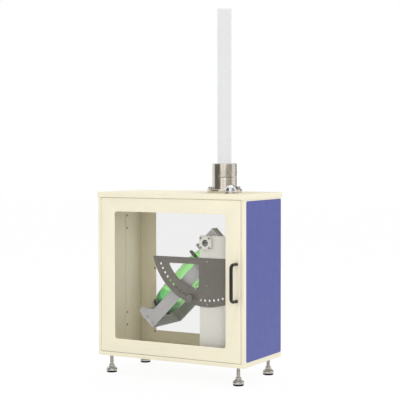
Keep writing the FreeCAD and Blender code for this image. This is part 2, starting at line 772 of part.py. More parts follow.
def quadrant_screw_spots():
    """Three screws down the plate's web: under its top, inside its ring and near its rim."""
    levels = [size("quadrant_top") + size("quadrant_screw_top"),
              quadrant_inner_r - size("quadrant_screw_mid"), quadrant_r - size("quadrant_screw_low")]
    return [(size("quadrant_screw_x"), -level) for level in levels]


def foot_screw_spots(way):
    y = -way * (column_y - size("foot_screw_in"))
    edge = size("foot_screw_in")
    return [(-size("column_left") + edge, y), (size("column_right") - 1.6 * edge, y)]


def column(label, way):
    """A folded column with a foot. The front one lets the index pin pass."""
    left, right, thick = -size("column_left"), size("column_right"), size("column_wall")
    over, low = size("column_over"), floor - pivot_z
    plate = Body(label)
    drawing = plate.sketch("XZ", way * column_y)
    outline(drawing, [(left, low), (right, low), (right, over), (left, over)])
    circle(drawing, size("column_hole_r"))
    for x, z in housing_screw_spots():
        circle(drawing, size("housing_shank_r"), x, z)
    if way > 0:
        for x, z in quadrant_screw_spots():
            circle(drawing, size("quadrant_shank_r"), x, z)
    plate.pad(drawing, thick, back=way < 0)
    if way > 0:
        passage = plate.sketch("XZ", column_y)
        for x, z in index_spots():
            if x.number > left.number:
                circle(passage, size("index_way_r"), x, z)
        plate.pocket(passage, back=True)
    outer, inner = -way * (column_y + thick), -way * (column_y - size("column_flange"))
    fold = plate.sketch("XY", low)
    outline(fold, [(right - thick, outer), (right, outer), (right, inner), (right - thick, inner)])
    plate.pad(fold, over - low)
    foot = plate.sketch("XY", low)
    outline(foot, [(left, outer), (right, outer), (right, inner), (left, inner)])
    for x, y in foot_screw_spots(way):
        circle(foot, size("quadrant_shank_r"), x, y)
    plate.pad(foot, thick)
    stand(plate.body, x=pivot_x, z=pivot_z)
    keep(plate.body, label)


def column_screws():
    """The screws that hold both columns' feet to the floor."""
    screws = []
    for way in (1, -1):
        for i, (x, y) in enumerate(foot_screw_spots(way)):
            spot = (pivot_x + x, y, floor + size("column_wall"))
            name = ("front" if way > 0 else "rear") + "_foot_screw" + str(i)
            screws.append(screw(name, size("foot_screw_r"), size("foot_screw_wall"),
                                size("quadrant_shank_r"), size("column_wall"), spot, "z"))
    keep(stand(group("column_screws", *screws)), "column_screws")


def quadrant_plate():
    """The angle plate: an arc of index holes, a top bar and a web screwed to the column."""
    outer, inner = quadrant_r, quadrant_inner_r
    upper, right = -size("quadrant_top"), size("column_right")
    bar, web = upper - size("quadrant_bar"), -size("quadrant_web")
    face = column_y + size("column_wall")
    plate = Body("quadrant_plate")
    disc = plate.sketch("XZ", face)
    circle(disc, outer)
    for x, z in index_spots():
        circle(disc, size("index_hole_r"), x, z)
    for x, z in quadrant_screw_spots():
        circle(disc, size("quadrant_shank_r"), x, z)
    plate.pad(disc, size("quadrant_wall"))
    trim = plate.sketch("XZ", face)
    far = outer + 5
    outline(trim, [(right, -far), (far, -far), (far, far), (-far, far), (-far, upper),
                   (right, upper)])
    plate.pocket(trim, back=True)
    window = plate.sketch("XZ", face)
    arc_window(window, inner, bar, web)
    plate.pocket(window, back=True)
    radii = [(inner, bar, True), (inner, web, False), (outer, upper, True)]
    spots = [(web, bar), (right, upper)]
    for radius, line, level in radii:
        other = -math.sqrt(radius.number ** 2 - line.number ** 2)
        spots.append((other, line) if level else (line, other))
    plate.fillet(size("quadrant_round"), at_spots(Y_AXIS, *spots))
    stand(plate.body, x=pivot_x, z=pivot_z)
    keep(plate.body, "quadrant_plate")


def arc_window(drawing, radius, level, edge):
    """A three-sided hole: a level top, an upright right side and an arc about the pivot."""
    left = -math.sqrt(radius.number ** 2 - level.number ** 2)
    low = -math.sqrt(radius.number ** 2 - edge.number ** 2)
    start, end = math.atan2(level.number, left), math.atan2(low, edge.number)
    corner = Vector(edge.number, level.number, 0)
    drawing.addGeometry(Part.LineSegment(Vector(left, level.number, 0), corner), False)
    drawing.addGeometry(Part.LineSegment(corner, Vector(edge.number, low, 0)), False)
    ring = Part.Circle(Vector(0, 0, 0), Vector(0, 0, 1), radius.number)
    drawing.addGeometry(Part.ArcOfCircle(ring, start, end), False)
    drawing.addConstraint(Sketcher.Constraint("Coincident", 2, 3, -1, 1))
    drawing.addConstraint(Sketcher.Constraint("Coincident", 0, 1, 2, 1))
    drawing.addConstraint(Sketcher.Constraint("Coincident", 0, 2, 1, 1))
    drawing.addConstraint(Sketcher.Constraint("Coincident", 1, 2, 2, 2))
    drawing.addConstraint(Sketcher.Constraint("Horizontal", 0))
    drawing.addConstraint(Sketcher.Constraint("Vertical", 1))
    tie(drawing, Sketcher.Constraint("Radius", 2, radius.number), radius)
    tie(drawing, Sketcher.Constraint("DistanceX", -1, 1, 0, 2, edge.number), edge)
    tie(drawing, Sketcher.Constraint("DistanceY", -1, 1, 0, 2, level.number), level)


def quadrant_screws():
    screws = []
    face = column_y + size("column_wall") + size("quadrant_wall")
    length = size("quadrant_wall") + size("column_wall")
    for i, (x, z) in enumerate(quadrant_screw_spots()):
        screws.append(screw("quadrant_screw" + str(i), size("quadrant_screw_r"),
                            size("quadrant_screw_wall"), size("quadrant_shank_r"), length,
                            (pivot_x + x, -face, pivot_z + z), "-y"))
    keep(stand(group("quadrant_screws", *screws)), "quadrant_screws")


column_face = column_y + size("column_wall")


def bearing_housings():
    """Two square flanged housings on the outer faces of the columns."""
    solids = []
    side, thick = size("housing_side"), size("housing_wall")
    for way in (1, -1):
        housing = Body("housing_" + ("front" if way > 0 else "rear"))
        drawing = housing.sketch("XZ", way * column_face)
        rectangle(drawing, side, side)
        for x, z in housing_screw_spots():
            circle(drawing, size("housing_shank_r"), x, z)
        circle(drawing, size("housing_window_r"))
        housing.pad(drawing, thick, back=way < 0)
        housing.fillet(size("housing_round"), at_spots(Y_AXIS, *corners_of(side, side)))
        seat = housing.sketch("XZ", way * column_face)
        circle(seat, size("bearing_r"))
        housing.pocket(seat, thick - size("housing_lip"), back=way > 0)
        solids.append(housing.body)
    keep(stand(group("bearing_housings", *solids), x=pivot_x, z=pivot_z), "bearing_housings")


def pivot_bearings():
    """The two bearings, each a turned ring with a dip for its shield on both faces."""
    solids = []
    wide = size("housing_wall") - size("housing_lip")
    bore, outer, dip = size("shaft_r") + size("shaft_play"), size("bearing_r"), size("bearing_dip")
    for way in (1, -1):
        near, far = bore + 2, outer - 2.5
        ring = turned("bearing_" + ("front" if way > 0 else "rear"), [
            (bore, ZERO), (near, ZERO), (near, dip), (far, dip), (far, ZERO), (outer, ZERO),
            (outer, wide), (far, wide), (far, wide - dip), (near, wide - dip), (near, wide),
            (bore, wide)])
        solids.append(move(ring, y=-way * column_face, turn=ALONG["-y" if way > 0 else "y"]))
    keep(stand(group("pivot_bearings", *solids), x=pivot_x, z=pivot_z), "pivot_bearings")


def bearing_screws():
    screws = []
    length = size("housing_wall") + size("column_wall")
    for way in (1, -1):
        for i, (x, z) in enumerate(housing_screw_spots()):
            name = ("front" if way > 0 else "rear") + "_housing_screw" + str(i)
            spot = (x, -way * (column_face + size("housing_wall")), z)
            screws.append(screw(name, size("housing_screw_r"), size("housing_screw_wall"),
                                size("housing_shank_r"), length, spot, "-y" if way > 0 else "y"))
    keep(stand(group("bearing_screws", *screws), x=pivot_x, z=pivot_z), "bearing_screws")


# Cradle, drawn with X along the bottle from the pivot and Z towards its lower side

cradle_turn = Rotation(Y_AXIS, 180 - SIZES["rest_tilt"])
arm_outer = column_y - size("arm_gap")
arm_half = arm_outer - size("arm_wall")
pad_front = size("bottle_base") + size("bottle_gap")
plate_front = pad_front + size("pad_wall")
plate_back = plate_front + size("plate_wall")
barrel_start = plate_back + size("plunger_stroke") + size("plunger_spare")
arm_reach = barrel_start + size("barrel_in") + size("end_wall")
shoulder_from = 0.132
shoulder_to = 0.258
neck_plate_at = size("bottle_base") * shoulder_from - size("neck_plate_wall")
yoke_at = size("bottle_base") * shoulder_to + size("yoke_after")


def hang(thing, label, spin=None):
    """Puts a cradle piece on the pivot at the rest tilt."""
    turn = cradle_turn * spin if spin else cradle_turn
    return keep(stand(thing, x=pivot_x, z=pivot_z, turn=turn), label)


def index_spot():
    """Where the index boss lies on the arm, along and square to the cradle's axis."""
    angle = math.radians(SIZES["index_offset"])
    return size("index_ring_r") * math.cos(angle), size("index_ring_r") * math.sin(angle)


def arm_screw_spots():
    """Screws through each arm: two for the end plate, one each for the neck plate and the yoke."""
    end = arm_reach - size("end_screw_back")
    neck = neck_plate_at + size("neck_plate_wall") / 2
    yoke = yoke_at + size("yoke_wall") / 2
    return [(end, size("end_screw_near")), (end, size("end_screw_far")),
            (neck, size("cross_far") * 0.6), (yoke, size("cross_far") * 0.66)]


def cradle_arm(label, way):
    """One arm: a head round the pivot, a long limb and a flared foot; the front one has a tab."""
    near, far, reach = size("arm_near"), size("arm_far"), arm_reach
    head, head_near, step = size("head_reach"), size("head_near"), size("head_step")
    lead, foot_near = reach - size("foot_lead"), size("foot_near")
    corners = [(-head, -head_near), (step, -head_near), (step + head_near + near, near),
               (lead, near), (lead + near + foot_near, -foot_near), (reach, -foot_near),
               (reach, far)]
    if way > 0:
        along = index_spot()[0]
        out, after, before = far + size("tab_out"), along + size("tab_after"), along - size("tab_before")
        corners += [(after, far), (after, far + size("tab_rise")), (along + size("tab_mid"), out),
                    (before, out), (before, far)]
    corners.append((-head, far))
    arm = Body(label)
    drawing = arm.sketch("XZ", way * arm_half)
    outline(drawing, corners)
    circle(drawing, size("stub_spigot_r"))
    if way > 0:
        circle(drawing, size("index_hole_r"), *index_spot())
    for x, z in arm_screw_spots():
        circle(drawing, size("cradle_shank_r"), x, z)
    arm.pad(drawing, size("arm_wall"), back=way < 0)
    flange = arm.sketch("YZ", -head)
    outer, inner = -way * arm_outer, -way * (arm_outer - size("head_flange"))
    outline(flange, [(outer, -head_near), (inner, -head_near), (inner, far), (outer, far)])
    arm.pad(flange, size("arm_wall"))
    hang(arm.body, label)


def end_plate():
    """The plate across the foot of the cradle, folded back along both arms."""
    thick, half = size("end_wall"), arm_half
    outer, flange = arm_reach, arm_reach - size("end_flange")
    near, far = size("foot_near"), size("arm_far")
    plate = Body("end_plate")
    drawing = plate.sketch("XY", -near)
    outline(drawing, [
        (outer, -half), (outer, half), (flange, half), (flange, half - thick),
        (outer - thick, half - thick), (outer - thick, -half + thick), (flange, -half + thick),
        (flange, -half)])
    plate.pad(drawing, near + far)
    holes = plate.sketch("XZ")
    for x, z in arm_screw_spots()[:2]:
        circle(holes, size("cradle_shank_r"), x, z)
    plate.pocket(holes)
    more_holes = plate.sketch("XZ")
    for x, z in arm_screw_spots()[:2]:
        circle(more_holes, size("cradle_shank_r"), x, z)
    plate.pocket(more_holes, back=True)
    barrel = plate.sketch("YZ")
    circle(barrel, size("barrel_r"))
    plate.pocket(barrel, back=True)
    hang(plate.body, "end_plate")


def slot_run(slot):
    """The round bottom of a plate's slot, from its left wall to its right wall."""
    return [(slot * -math.cos(math.pi * i / 12), slot * math.sin(math.pi * i / 12))
            for i in range(13)]


def cross_plate(label, at, thick, corners, rounds, which):
    """A plate across the bottle, screwed to both arms."""
    plate = Body(label)
    drawing = plate.sketch("YZ", at)
    outline(drawing, corners)
    plate.pad(drawing, thick)
    plate.fillet(rounds[0], at_spots(X_AXIS, *rounds[1:]))
    x, z = arm_screw_spots()[which]
    for way in (1, -1):
        hole = plate.sketch("XZ", way * arm_half)
        circle(hole, size("cradle_shank_r"), x, z)
        plate.pocket(hole, size("cradle_screw_deep"), back=way < 0)
    hang(plate.body, label)


def bottle_plates():
    """The neck plate, which the bottle's shoulder rests on, and the yoke that guides its body."""
    half, far = arm_half, size("cross_far")
    near = size("neck_plate_near")
    slot = size("neck_r") + size("neck_flare") + size("neck_plate_play")
    corners = [(-half, far), (-half, -near), (-slot, -near)] + slot_run(slot)
    corners += [(slot, -near), (half, -near), (half, far)]
    cross_plate("neck_plate", neck_plate_at, size("neck_plate_wall"), corners,
                (size("neck_plate_round"), (-half, -near), (half, -near), (-slot, -near),
                 (slot, -near)), 2)
    near, slot = size("yoke_near"), size("shoulder_r") + size("yoke_play")
    horn = slot + size("yoke_horn")
    limb = size("arm_near")
    corners = [(-half, far), (-half, limb), (-horn, limb), (-horn, -near), (-slot, -near)]
    corners += slot_run(slot)
    corners += [(slot, -near), (horn, -near), (horn, limb), (half, limb), (half, far)]
    cross_plate("bottle_yoke", yoke_at, size("yoke_wall"), corners,
                (size("yoke_round"), (-horn, -near), (horn, -near), (-slot, -near),
                 (slot, -near)), 3)


def cradle_screws():
    """The screws through both arms."""
    screws = []
    for way in (1, -1):
        for i, (x, z) in enumerate(arm_screw_spots()):
            into = size("end_wall") if i < 2 else size("cradle_screw_deep") - 1
            name = ("front" if way > 0 else "rear") + "_arm_screw" + str(i)
            screws.append(screw(name, size("cradle_screw_r"), size("cradle_screw_wall"),
                                size("cradle_shank_r"), size("arm_wall") + into,
                                (x, -way * arm_outer, z), "-y" if way > 0 else "y"))
    hang(group("cradle_screws", *screws), "cradle_screws")


def stub_shafts():
    """The two stub shafts that the cradle swings on."""
    solids = []
    spigot, flange, shaft = size("stub_spigot_r"), size("stub_flange_r"), size("shaft_r")
    first = size("arm_wall")
    second = first + size("stub_flange_wall")
    last = second + size("shaft_long")
    for way in (1, -1):
        stub = turned("stub_" + ("front" if way > 0 else "rear"), [
            (ZERO, ZERO), (spigot, ZERO), (spigot, first), (flange, first),
            (flange, second - 0.8), (flange - 0.8, second), (shaft, second),
            (shaft, last - 0.8), (shaft - 0.8, last), (ZERO, last)])
        solids.append(move(stub, y=-way * arm_half, turn=ALONG["-y" if way > 0 else "y"]))
    hang(group("stub_shafts", *solids), "stub_shafts")


def index_boss():
    """The boss on the front arm's tab that the index pin enters."""
    x, z = index_spot()
    long = column_y - size("index_gap") - arm_outer
    boss = Body("index_boss")
    drawing = boss.sketch("XZ", arm_outer)
    circle(drawing, size("index_boss_r"), x, z)
    circle(drawing, size("index_hole_r"), x, z)
    boss.pad(drawing, long)
    hang(boss.body, "index_boss")


# Toggle clamp, on the end plate

lever_s = arm_reach + size("clamp_base_wall") + size("lever_pin_out")
lever_p = -size("lever_pin_side")
link_drop = size("plunger_stroke") / 2 / math.tan(math.radians(SIZES["lever_swing"] / 2))
link_s = lever_s - size("plunger_stroke") / 2
link_p = lever_p + link_drop


def clamp_body():
    """The clamp's base: a flange, a barrel through the end plate and a fork for the lever."""
    start = barrel_start
    face = arm_reach + size("clamp_base_wall")
    clamp = Body("clamp_body")
    base = clamp.sketch("YZ", arm_reach)
    rectangle(base, size("clamp_base_wide"), size("clamp_base_high"))
    clamp.pad(base, size("clamp_base_wall"))
    clamp.fillet(size("clamp_round"), at_spots(X_AXIS, *corners_of(
        size("clamp_base_wide"), size("clamp_base_high"))))
    barrel = clamp.sketch("YZ", start)
    circle(barrel, size("barrel_r"))
    clamp.pad(barrel, face - start)
    end, far, near = face + size("fork_long"), size("fork_far"), lever_p - size("lever_hub_r")
    for way in (1, -1):
        cheek = clamp.sketch("XZ", way * size("fork_half"))
        outline(cheek, [(face - 1, near + 14), (face + 2, near), (end - 2, near), (end, near + 6),
                        (face + 7, far), (face - 1, far)])
        circle(cheek, size("lever_pin_r"), lever_s, lever_p)
        clamp.pad(cheek, size("fork_wall"), back=way < 0)
    bore = clamp.sketch("YZ", start)
    circle(bore, size("plunger_r") + size("plunger_play"))
    clamp.pocket(bore, back=True)
    hang(clamp.body, "clamp_body")


def lever_pin():
    half = size("fork_half") + size("fork_wall") + size("lever_pin_over")
    pin = rod("lever_pin_rod", size("lever_pin_r"), 2 * half, lever_s, -half, lever_p, "y")
    hang(group("lever_pin", pin), "lever_pin")


def lever_point(along, across, forward):
    """A spot on the lever, counted from its pin along and across the direction of the link."""
    dx, dz = link_s.number - lever_s.number, link_p.number - lever_p.number
    long = math.hypot(dx, dz)
    ux, uz = dx / long, dz / long
    if forward:
        return lever_s + (along * ux + across * uz), lever_p + (along * uz - across * ux)
    unit = size("lever_long")
    return lever_s + unit * along, lever_p + unit * across


# The lever's outline from its hub: up the outside to the curled tip and back down the inside,
# as shares of the lever's length
LEVER_ROOT = [(0.10, 0.03), (-0.04, -0.19)]
LEVER_OUTSIDE = [(0.18, -0.38), (0.42, -0.61), (0.52, -0.84)]
LEVER_TIP = [(0.58, -1.03), (0.64, -1.05), (0.67, -0.99)]
LEVER_INSIDE = [(0.62, -0.78), (0.53, -0.52), (0.30, -0.26)]


def clamp_lever():
    """The lever: a bent handle, a hub on the pin and a short fork over the link pin."""
    play = SIZES["link_pin_play"] + SIZES["link_pin_r"]
    out = play + SIZES["lever_fork_wall"]
    end, root = SIZES["lever_fork_long"], SIZES["lever_fork_root"]
    spots = [(0, out), (end, out), (end, play), (root, play), (root, -play), (end, -play),
             (end, -out), (0, -out)]
    fork = [lever_point(along, across, True) for along, across in spots]
    lever = Body("clamp_lever")
    short = lever.sketch("XZ", -size("lever_half"))
    outline(short, fork)
    lever.pad(short, 2 * size("lever_half"))
    curve = LEVER_ROOT + LEVER_OUTSIDE + LEVER_TIP + LEVER_INSIDE
    handle = lever.sketch("XZ", -size("lever_half"))
    outline(handle, [lever_point(a, b, False) for a, b in curve])
    lever.pad(handle, 2 * size("lever_half"))
    bends = [lever_point(a, b, False) for a, b in LEVER_OUTSIDE + LEVER_INSIDE]
    lever.fillet(size("lever_bend"), at_spots(Y_AXIS, *bends))
    hub = lever.sketch("XZ", -size("lever_hub_half"))
    circle(hub, size("lever_hub_r"), lever_s, lever_p)
    lever.pad(hub, 2 * size("lever_hub_half"))
    bore = lever.sketch("XZ", -size("lever_hub_half"))
    circle(bore, size("lever_pin_r") + size("lever_play"), lever_s, lever_p)
    lever.pocket(bore, back=True)
    hang(lever.body, "clamp_lever")


def clamp_plunger():
    """The plunger with two lugs and the link pin that the lever's fork drives."""
    tail = lever_s
    inner, outer = size("lug_in"), size("lug_out")
    half = size("lug_half")
    plunger = Body("clamp_plunger")
    shaft = plunger.sketch("YZ", plate_back)
    circle(shaft, size("plunger_r"))
    plunger.pad(shaft, tail - plate_back)
    for way in (1, -1):
        lug = plunger.sketch("XZ", way * inner)
        rectangle(lug, 2 * half, -link_p + half, link_s, (link_p - half) / 2)
        plunger.pad(lug, outer - inner, back=way < 0)
    pin = plunger.sketch("XZ", -outer)
    circle(pin, size("link_pin_r"), link_s, link_p)
    plunger.pad(pin, 2 * outer)
    hang(plunger.body, "clamp_plunger")


def pressure_plate():
    """The round plate on the plunger's front end, and its rubber pad."""
    radius, edge = size("plate_r"), size("edge_break")
    plate = turned("pressure_plate", [
        (ZERO, plate_front), (radius - edge, plate_front), (radius, plate_front + edge),
        (radius, plate_back - edge), (radius - edge, plate_back), (ZERO, plate_back)])
    hang(plate, "pressure_plate", ALONG["x"])
    pad = turned("plate_pad", [
        (ZERO, pad_front), (size("pad_r"), pad_front), (size("pad_r"), plate_front),
        (ZERO, plate_front)])
    hang(pad, "plate_pad", ALONG["x"])


# Sample bottle

def bottle_profile():
    """The bottle's outside as (radius, reach) from the mouth to the base."""
    base = size("bottle_base")
    shoulder, waist, heel, neck = size("shoulder_r"), size("waist_r"), size("heel_r"), size("neck_r")
    ring = size("neck_ring_r")
    return [
        (neck, base * 0.0), (neck, base * 0.0675), (ring, base * 0.069), (ring, base * 0.0755),
        (neck, base * 0.077), (neck + 0.6, base * 0.104),
        (neck + size("neck_flare"), base * shoulder_from),
        (shoulder * 0.59, base * 0.159), (shoulder * 0.76, base * 0.196),
        (shoulder * 0.93, base * 0.230), (shoulder, base * shoulder_to), (shoulder, base * 0.333),
        (shoulder - 1, base * 0.362), (waist + 3, base * 0.414), (waist, base * 0.445),
        (waist, base * 0.721), (waist + 2.1, base * 0.788), (heel - 3, base * 0.846),
        (heel, base * 0.900), (heel, base * 0.936), (heel - 2.5, base * 0.975),
        (size("foot_ring_r") + 4, base * 0.993), (size("foot_ring_r"), base)]


def sample_bottle():
    """The bottle: an even skin, open at the mouth and pushed in under the base."""
    skin = size("bottle_wall")
    outside = bottle_profile()
    base = size("bottle_base")
    foot = size("foot_ring_r")
    dome = [(foot * 0.75, base - 6), (foot * 0.4, base - 10), (ZERO, base - 11.5)]
    inner_dome = [(ZERO, base - 11.5 - skin), (foot * 0.4, base - 10 - skin),
                  (foot * 0.75 + 0.4, base - 6 - skin)]
    inside = [(r - skin, z) for r, z in outside if z.number < base.number * 0.99]
    inside = [(r, z - skin * 0.8) if z.number > base.number * 0.96 else (r, z) for r, z in inside]
    inside = [spot for i, spot in enumerate(inside) if i not in (1, 2, 3)]
    bottle = turned("sample_bottle", outside + dome + inner_dome + inside[::-1])
    hang(bottle, "sample_bottle", ALONG["x"])


def sample_cap():
    """The ribbed cap. Its top lies just past the pivot, so the ball strikes near its middle."""
    cap = Body("sample_cap")
    over, high, thick, edge = (size("cap_over"), size("cap_height"), size("cap_wall"),
                               size("edge_break"))
    inner = size("neck_r")
    radius = inner + size("cap_skirt")
    drawing = cap.sketch("XZ")
    outline(drawing, [
        (ZERO, -over), (radius - edge, -over), (radius, -over + edge), (radius, high - over),
        (inner, high - over), (inner, -over + thick), (ZERO, -over + thick)])
    cap.revolve(drawing)
    flutes = cap.sketch("XY", -over)
    count = int(SIZES["cap_flutes"])
    for i in range(count):
        angle = 2 * math.pi * i / count
        circle(flutes, size("cap_flute_r"), radius * math.cos(angle), radius * math.sin(angle))
    cap.pocket(flutes, high * 0.75, back=True)
    hang(cap.body, "sample_cap", ALONG["x"])


# Drop tube, collar and ball

clamp_screw_out = (size("tube_r") + size("collar_r")) / 2 - size("clamp_screw_set")


def tube_collar():
    """The flanged collar: a split clamp above, a narrower seat for the tube below."""
    height, radius, edge = size("collar_height"), size("collar_r"), size("edge_break")
    flange = bolt_ring + size("bolt_r") + size("flange_edge")
    flange_top, seat = size("flange_wall"), size("collar_seat")
    outer_bore, inner_bore = size("tube_r") + size("tube_play"), collar_bore
    collar = Body("tube_collar")
    drawing = collar.sketch("XZ")
    outline(drawing, [
        (inner_bore, ZERO), (flange, ZERO), (flange, flange_top - edge), (flange - edge, flange_top),
        (radius, flange_top), (radius, height - edge), (radius - edge, height), (outer_bore, height),
        (outer_bore, seat), (inner_bore, seat)])
    collar.revolve(drawing)
    bolts = collar.sketch("XY")
    for x, y in bolt_spots():
        circle(bolts, size("bolt_shank_r"), x, y)
    collar.pocket(bolts, 2 * flange_top, back=True)
    slit, level = size("collar_slit"), size("collar_slit_up")
    upright = collar.sketch("YZ")
    rectangle(upright, slit, height - level + 1, y=(height + level + 1) / 2)
    collar.pocket(upright, 2 * radius, back=True)
    across = collar.sketch("XZ", -radius)
    rectangle(across, radius + 4, slit, radius / 2 + 2, level)
    collar.pocket(across, 2 * radius, back=True)
    bore = collar.sketch("XZ", -radius)
    circle(bore, size("clamp_screw_r"), clamp_screw_out, size("clamp_screw_up"))
    collar.pocket(bore, 2 * radius, back=True)
    stand(collar.body, x=tube_x, z=top)
    keep(collar.body, "tube_collar")


def collar_clamp_screw():
    """The cross screw that closes the collar's slit."""
    half = math.sqrt(SIZES["collar_r"] ** 2 - clamp_screw_out.number ** 2) - 2.5
    rod_half = Size.of(half)
    shank = rod("collar_screw_rod", size("clamp_screw_r"), 2 * rod_half, y=-rod_half, along="y")
    socket = hexagon("collar_screw_socket", size("clamp_screw_r") * 1.2, Size.of(3))
    move(socket, y=-rod_half - 0.01, turn=ALONG["y"])
    whole = minus("collar_clamp_screw", shank, socket)
    stand(whole, tube_x + clamp_screw_out, ZERO, top + size("clamp_screw_up"))
    keep(whole, "collar_clamp_screw")


def flange_screws():
    """Four socket-head bolts through the flange and the lid, with nuts under the lid."""
    bolts, edge = [], size("edge_break")
    for i, (x, y) in enumerate(bolt_spots()):
        name = "flange_bolt" + str(i)
        head = turned(name + "_head", [
            (ZERO, ZERO), (size("bolt_r"), ZERO), (size("bolt_r"), size("bolt_head") - edge),
            (size("bolt_r") - edge, size("bolt_head")), (ZERO, size("bolt_head"))])
        socket = hexagon(name + "_socket", size("bolt_socket"), size("bolt_head"),
                         z=size("bolt_head") / 2)
        grip, nut_high = size("flange_wall") + wall, size("bolt_nut_high")
        length = grip + nut_high + size("bolt_tail")
        shank = rod(name + "_shank", size("bolt_shank_r"), length, z=-length)
        nut = hexagon(name + "_nut", size("bolt_nut"), nut_high, z=-grip - nut_high)
        whole = minus(name, joined(name + "_whole", head, shank, nut), socket)
        bolts.append(move(whole, x, y, ZERO))
    bundle = group("flange_screws", *bolts)
    stand(bundle, x=tube_x, z=top + size("flange_wall"))
    keep(bundle, "flange_screws")


def drop_tube():
    """The clear tube that guides the ball; it stands on the collar's inner seat."""
    length = size("tube_over") - size("collar_seat")
    tube = Body("drop_tube")
    drawing = tube.sketch("XY")
    circle(drawing, size("tube_r"))
    circle(drawing, size("tube_r") - size("tube_wall"))
    tube.pad(drawing, length)
    stand(tube.body, x=tube_x, z=top + size("collar_seat"))
    keep(tube.body, "drop_tube")


def impact_ball():
    """The steel ball, parked in its seat on the lid."""
    ball = doc.addObject("Part::Sphere", "impact_ball")
    bind(ball, "Radius", size("ball_r"))
    stand(ball, ball_x, -ball_y, top + size("ball_rise"))
    keep(ball, "impact_ball")


def ball_seat():
    """The ring that the parked ball rests in, coned to follow the ball."""
    high = size("seat_height")
    low_bore, high_bore = seat_bore(0), seat_bore(SIZES["seat_height"])
    outer = high_bore + size("seat_wall")
    seat = turned("ball_seat", [(low_bore, ZERO), (outer, ZERO), (outer, high), (high_bore, high)])
    stand(seat, ball_x, -ball_y, top)
    keep(seat, "ball_seat")


# Index pin, carried by the quadrant plate

def index_pin():
    """The pin that locks the cradle: it slides through the quadrant into the arm's boss."""
    angle = math.radians(SIZES["rest_tilt"] + SIZES["index_offset"])
    x = pivot_x + size("index_ring_r") * -math.cos(angle)
    z = pivot_z + size("index_ring_r") * -math.sin(angle)
    plate_face = column_face + size("quadrant_wall")
    tip = column_y - size("index_gap") + size("pin_rest")
    knob_back = plate_face + size("pin_travel") + size("knob_gap")
    end = knob_back + size("knob_deep")
    pin_r, edge = size("index_hole_r") - size("pin_play"), size("edge_break")
    pin = turned("index_pin", [
        (ZERO, ZERO), (pin_r - edge, ZERO), (pin_r, edge), (pin_r, end - tip), (ZERO, end - tip)])
    stand(pin, x, -tip, z, ALONG["-y"])
    keep(pin, "index_pin")
    knob_r, long = size("knob_r"), size("knob_long")
    knob = Body("index_knob")
    drawing = knob.sketch("XZ")
    outline(drawing, [
        (pin_r, ZERO), (knob_r - edge, ZERO), (knob_r, edge), (knob_r, long - edge),
        (knob_r - edge, long), (ZERO, long), (ZERO, size("knob_deep")),
        (pin_r, size("knob_deep"))])
    knob.revolve(drawing)
    flutes = knob.sketch("XY")
    count = int(SIZES["knob_flutes"])
    for i in range(count):
        turn = 2 * math.pi * i / count
        circle(flutes, size("knob_flute_r"), (knob_r + 0.3) * math.cos(turn),
               (knob_r + 0.3) * math.sin(turn))
    knob.pocket(flutes, back=True)
    stand(knob.body, x, -knob_back, z, ALONG["-y"])
    keep(knob.body, "index_knob")


# Feet

def foot_spots():
    x, y = half_wide - size("foot_inset_x"), half_deep - size("foot_inset_y")
    return [(-x, -y), (x, -y), (-x, y), (x, y)]


def feet():
    """Four levelling feet: rubber pads, domed discs, turning studs and welded nuts."""
    pad_high, disc_r, disc_high = size("foot_pad_high"), size("foot_disc_r"), size("foot_disc_high")
    stud_r, play, gap = size("stud_r"), size("stud_play"), size("stud_gap")
    edge = size("edge_break")
    disc_top = pad_high + disc_high
    pads, discs, nuts = [], [], []
    for i, (x, y) in enumerate(foot_spots(), start=1):
        number = str(i)
        pad = turned("pad" + number, [
            (ZERO, ZERO), (size("foot_pad_r") - edge, ZERO), (size("foot_pad_r"), edge),
            (size("foot_pad_r"), pad_high), (ZERO, pad_high)])
        pads.append(move(pad, x, y))
        socket, deep = stud_r + play, disc_high - size("stud_deep")
        disc = turned("disc" + number, [
            (ZERO, ZERO), (disc_r, ZERO), (disc_r, disc_high * 0.35), (disc_r * 0.86, disc_high * 0.6),
            (disc_r * 0.68, disc_high * 0.72), (disc_r * 0.6, disc_high), (socket, disc_high),
            (socket, deep - gap), (ZERO, deep - gap)])
        discs.append(move(disc, x, y, pad_high))
        nut = minus("nut" + number,
                    rod("nut_outer" + number, size("weld_nut_r"), size("weld_nut_high")),
                    rod("nut_bore" + number, stud_r + play, size("weld_nut_high")))
        nuts.append(move(nut, x, y, floor - size("base_wall") - size("weld_nut_high")))
        low = disc_top - size("stud_deep")
        high = floor - size("base_wall") - gap
        shank = turned("stud_shank" + number, [
            (ZERO, low), (stud_r - edge, low), (stud_r, low + edge), (stud_r, high - edge),
            (stud_r - edge, high), (ZERO, high)])
        grip = hexagon("stud_grip" + number, size("stud_hex"), size("stud_hex_high"),
                       z=disc_top + gap)
        stud = joined("foot_stud_" + number, shank, grip)
        stand(stud, x, y)
        keep(stud, "foot_stud_" + number)
    keep(stand(group("foot_pads", *pads)), "foot_pads")
    keep(stand(group("foot_discs", *discs)), "foot_discs")
    keep(stand(group("foot_lock_nuts", *nuts)), "foot_lock_nuts")


# The whole tester

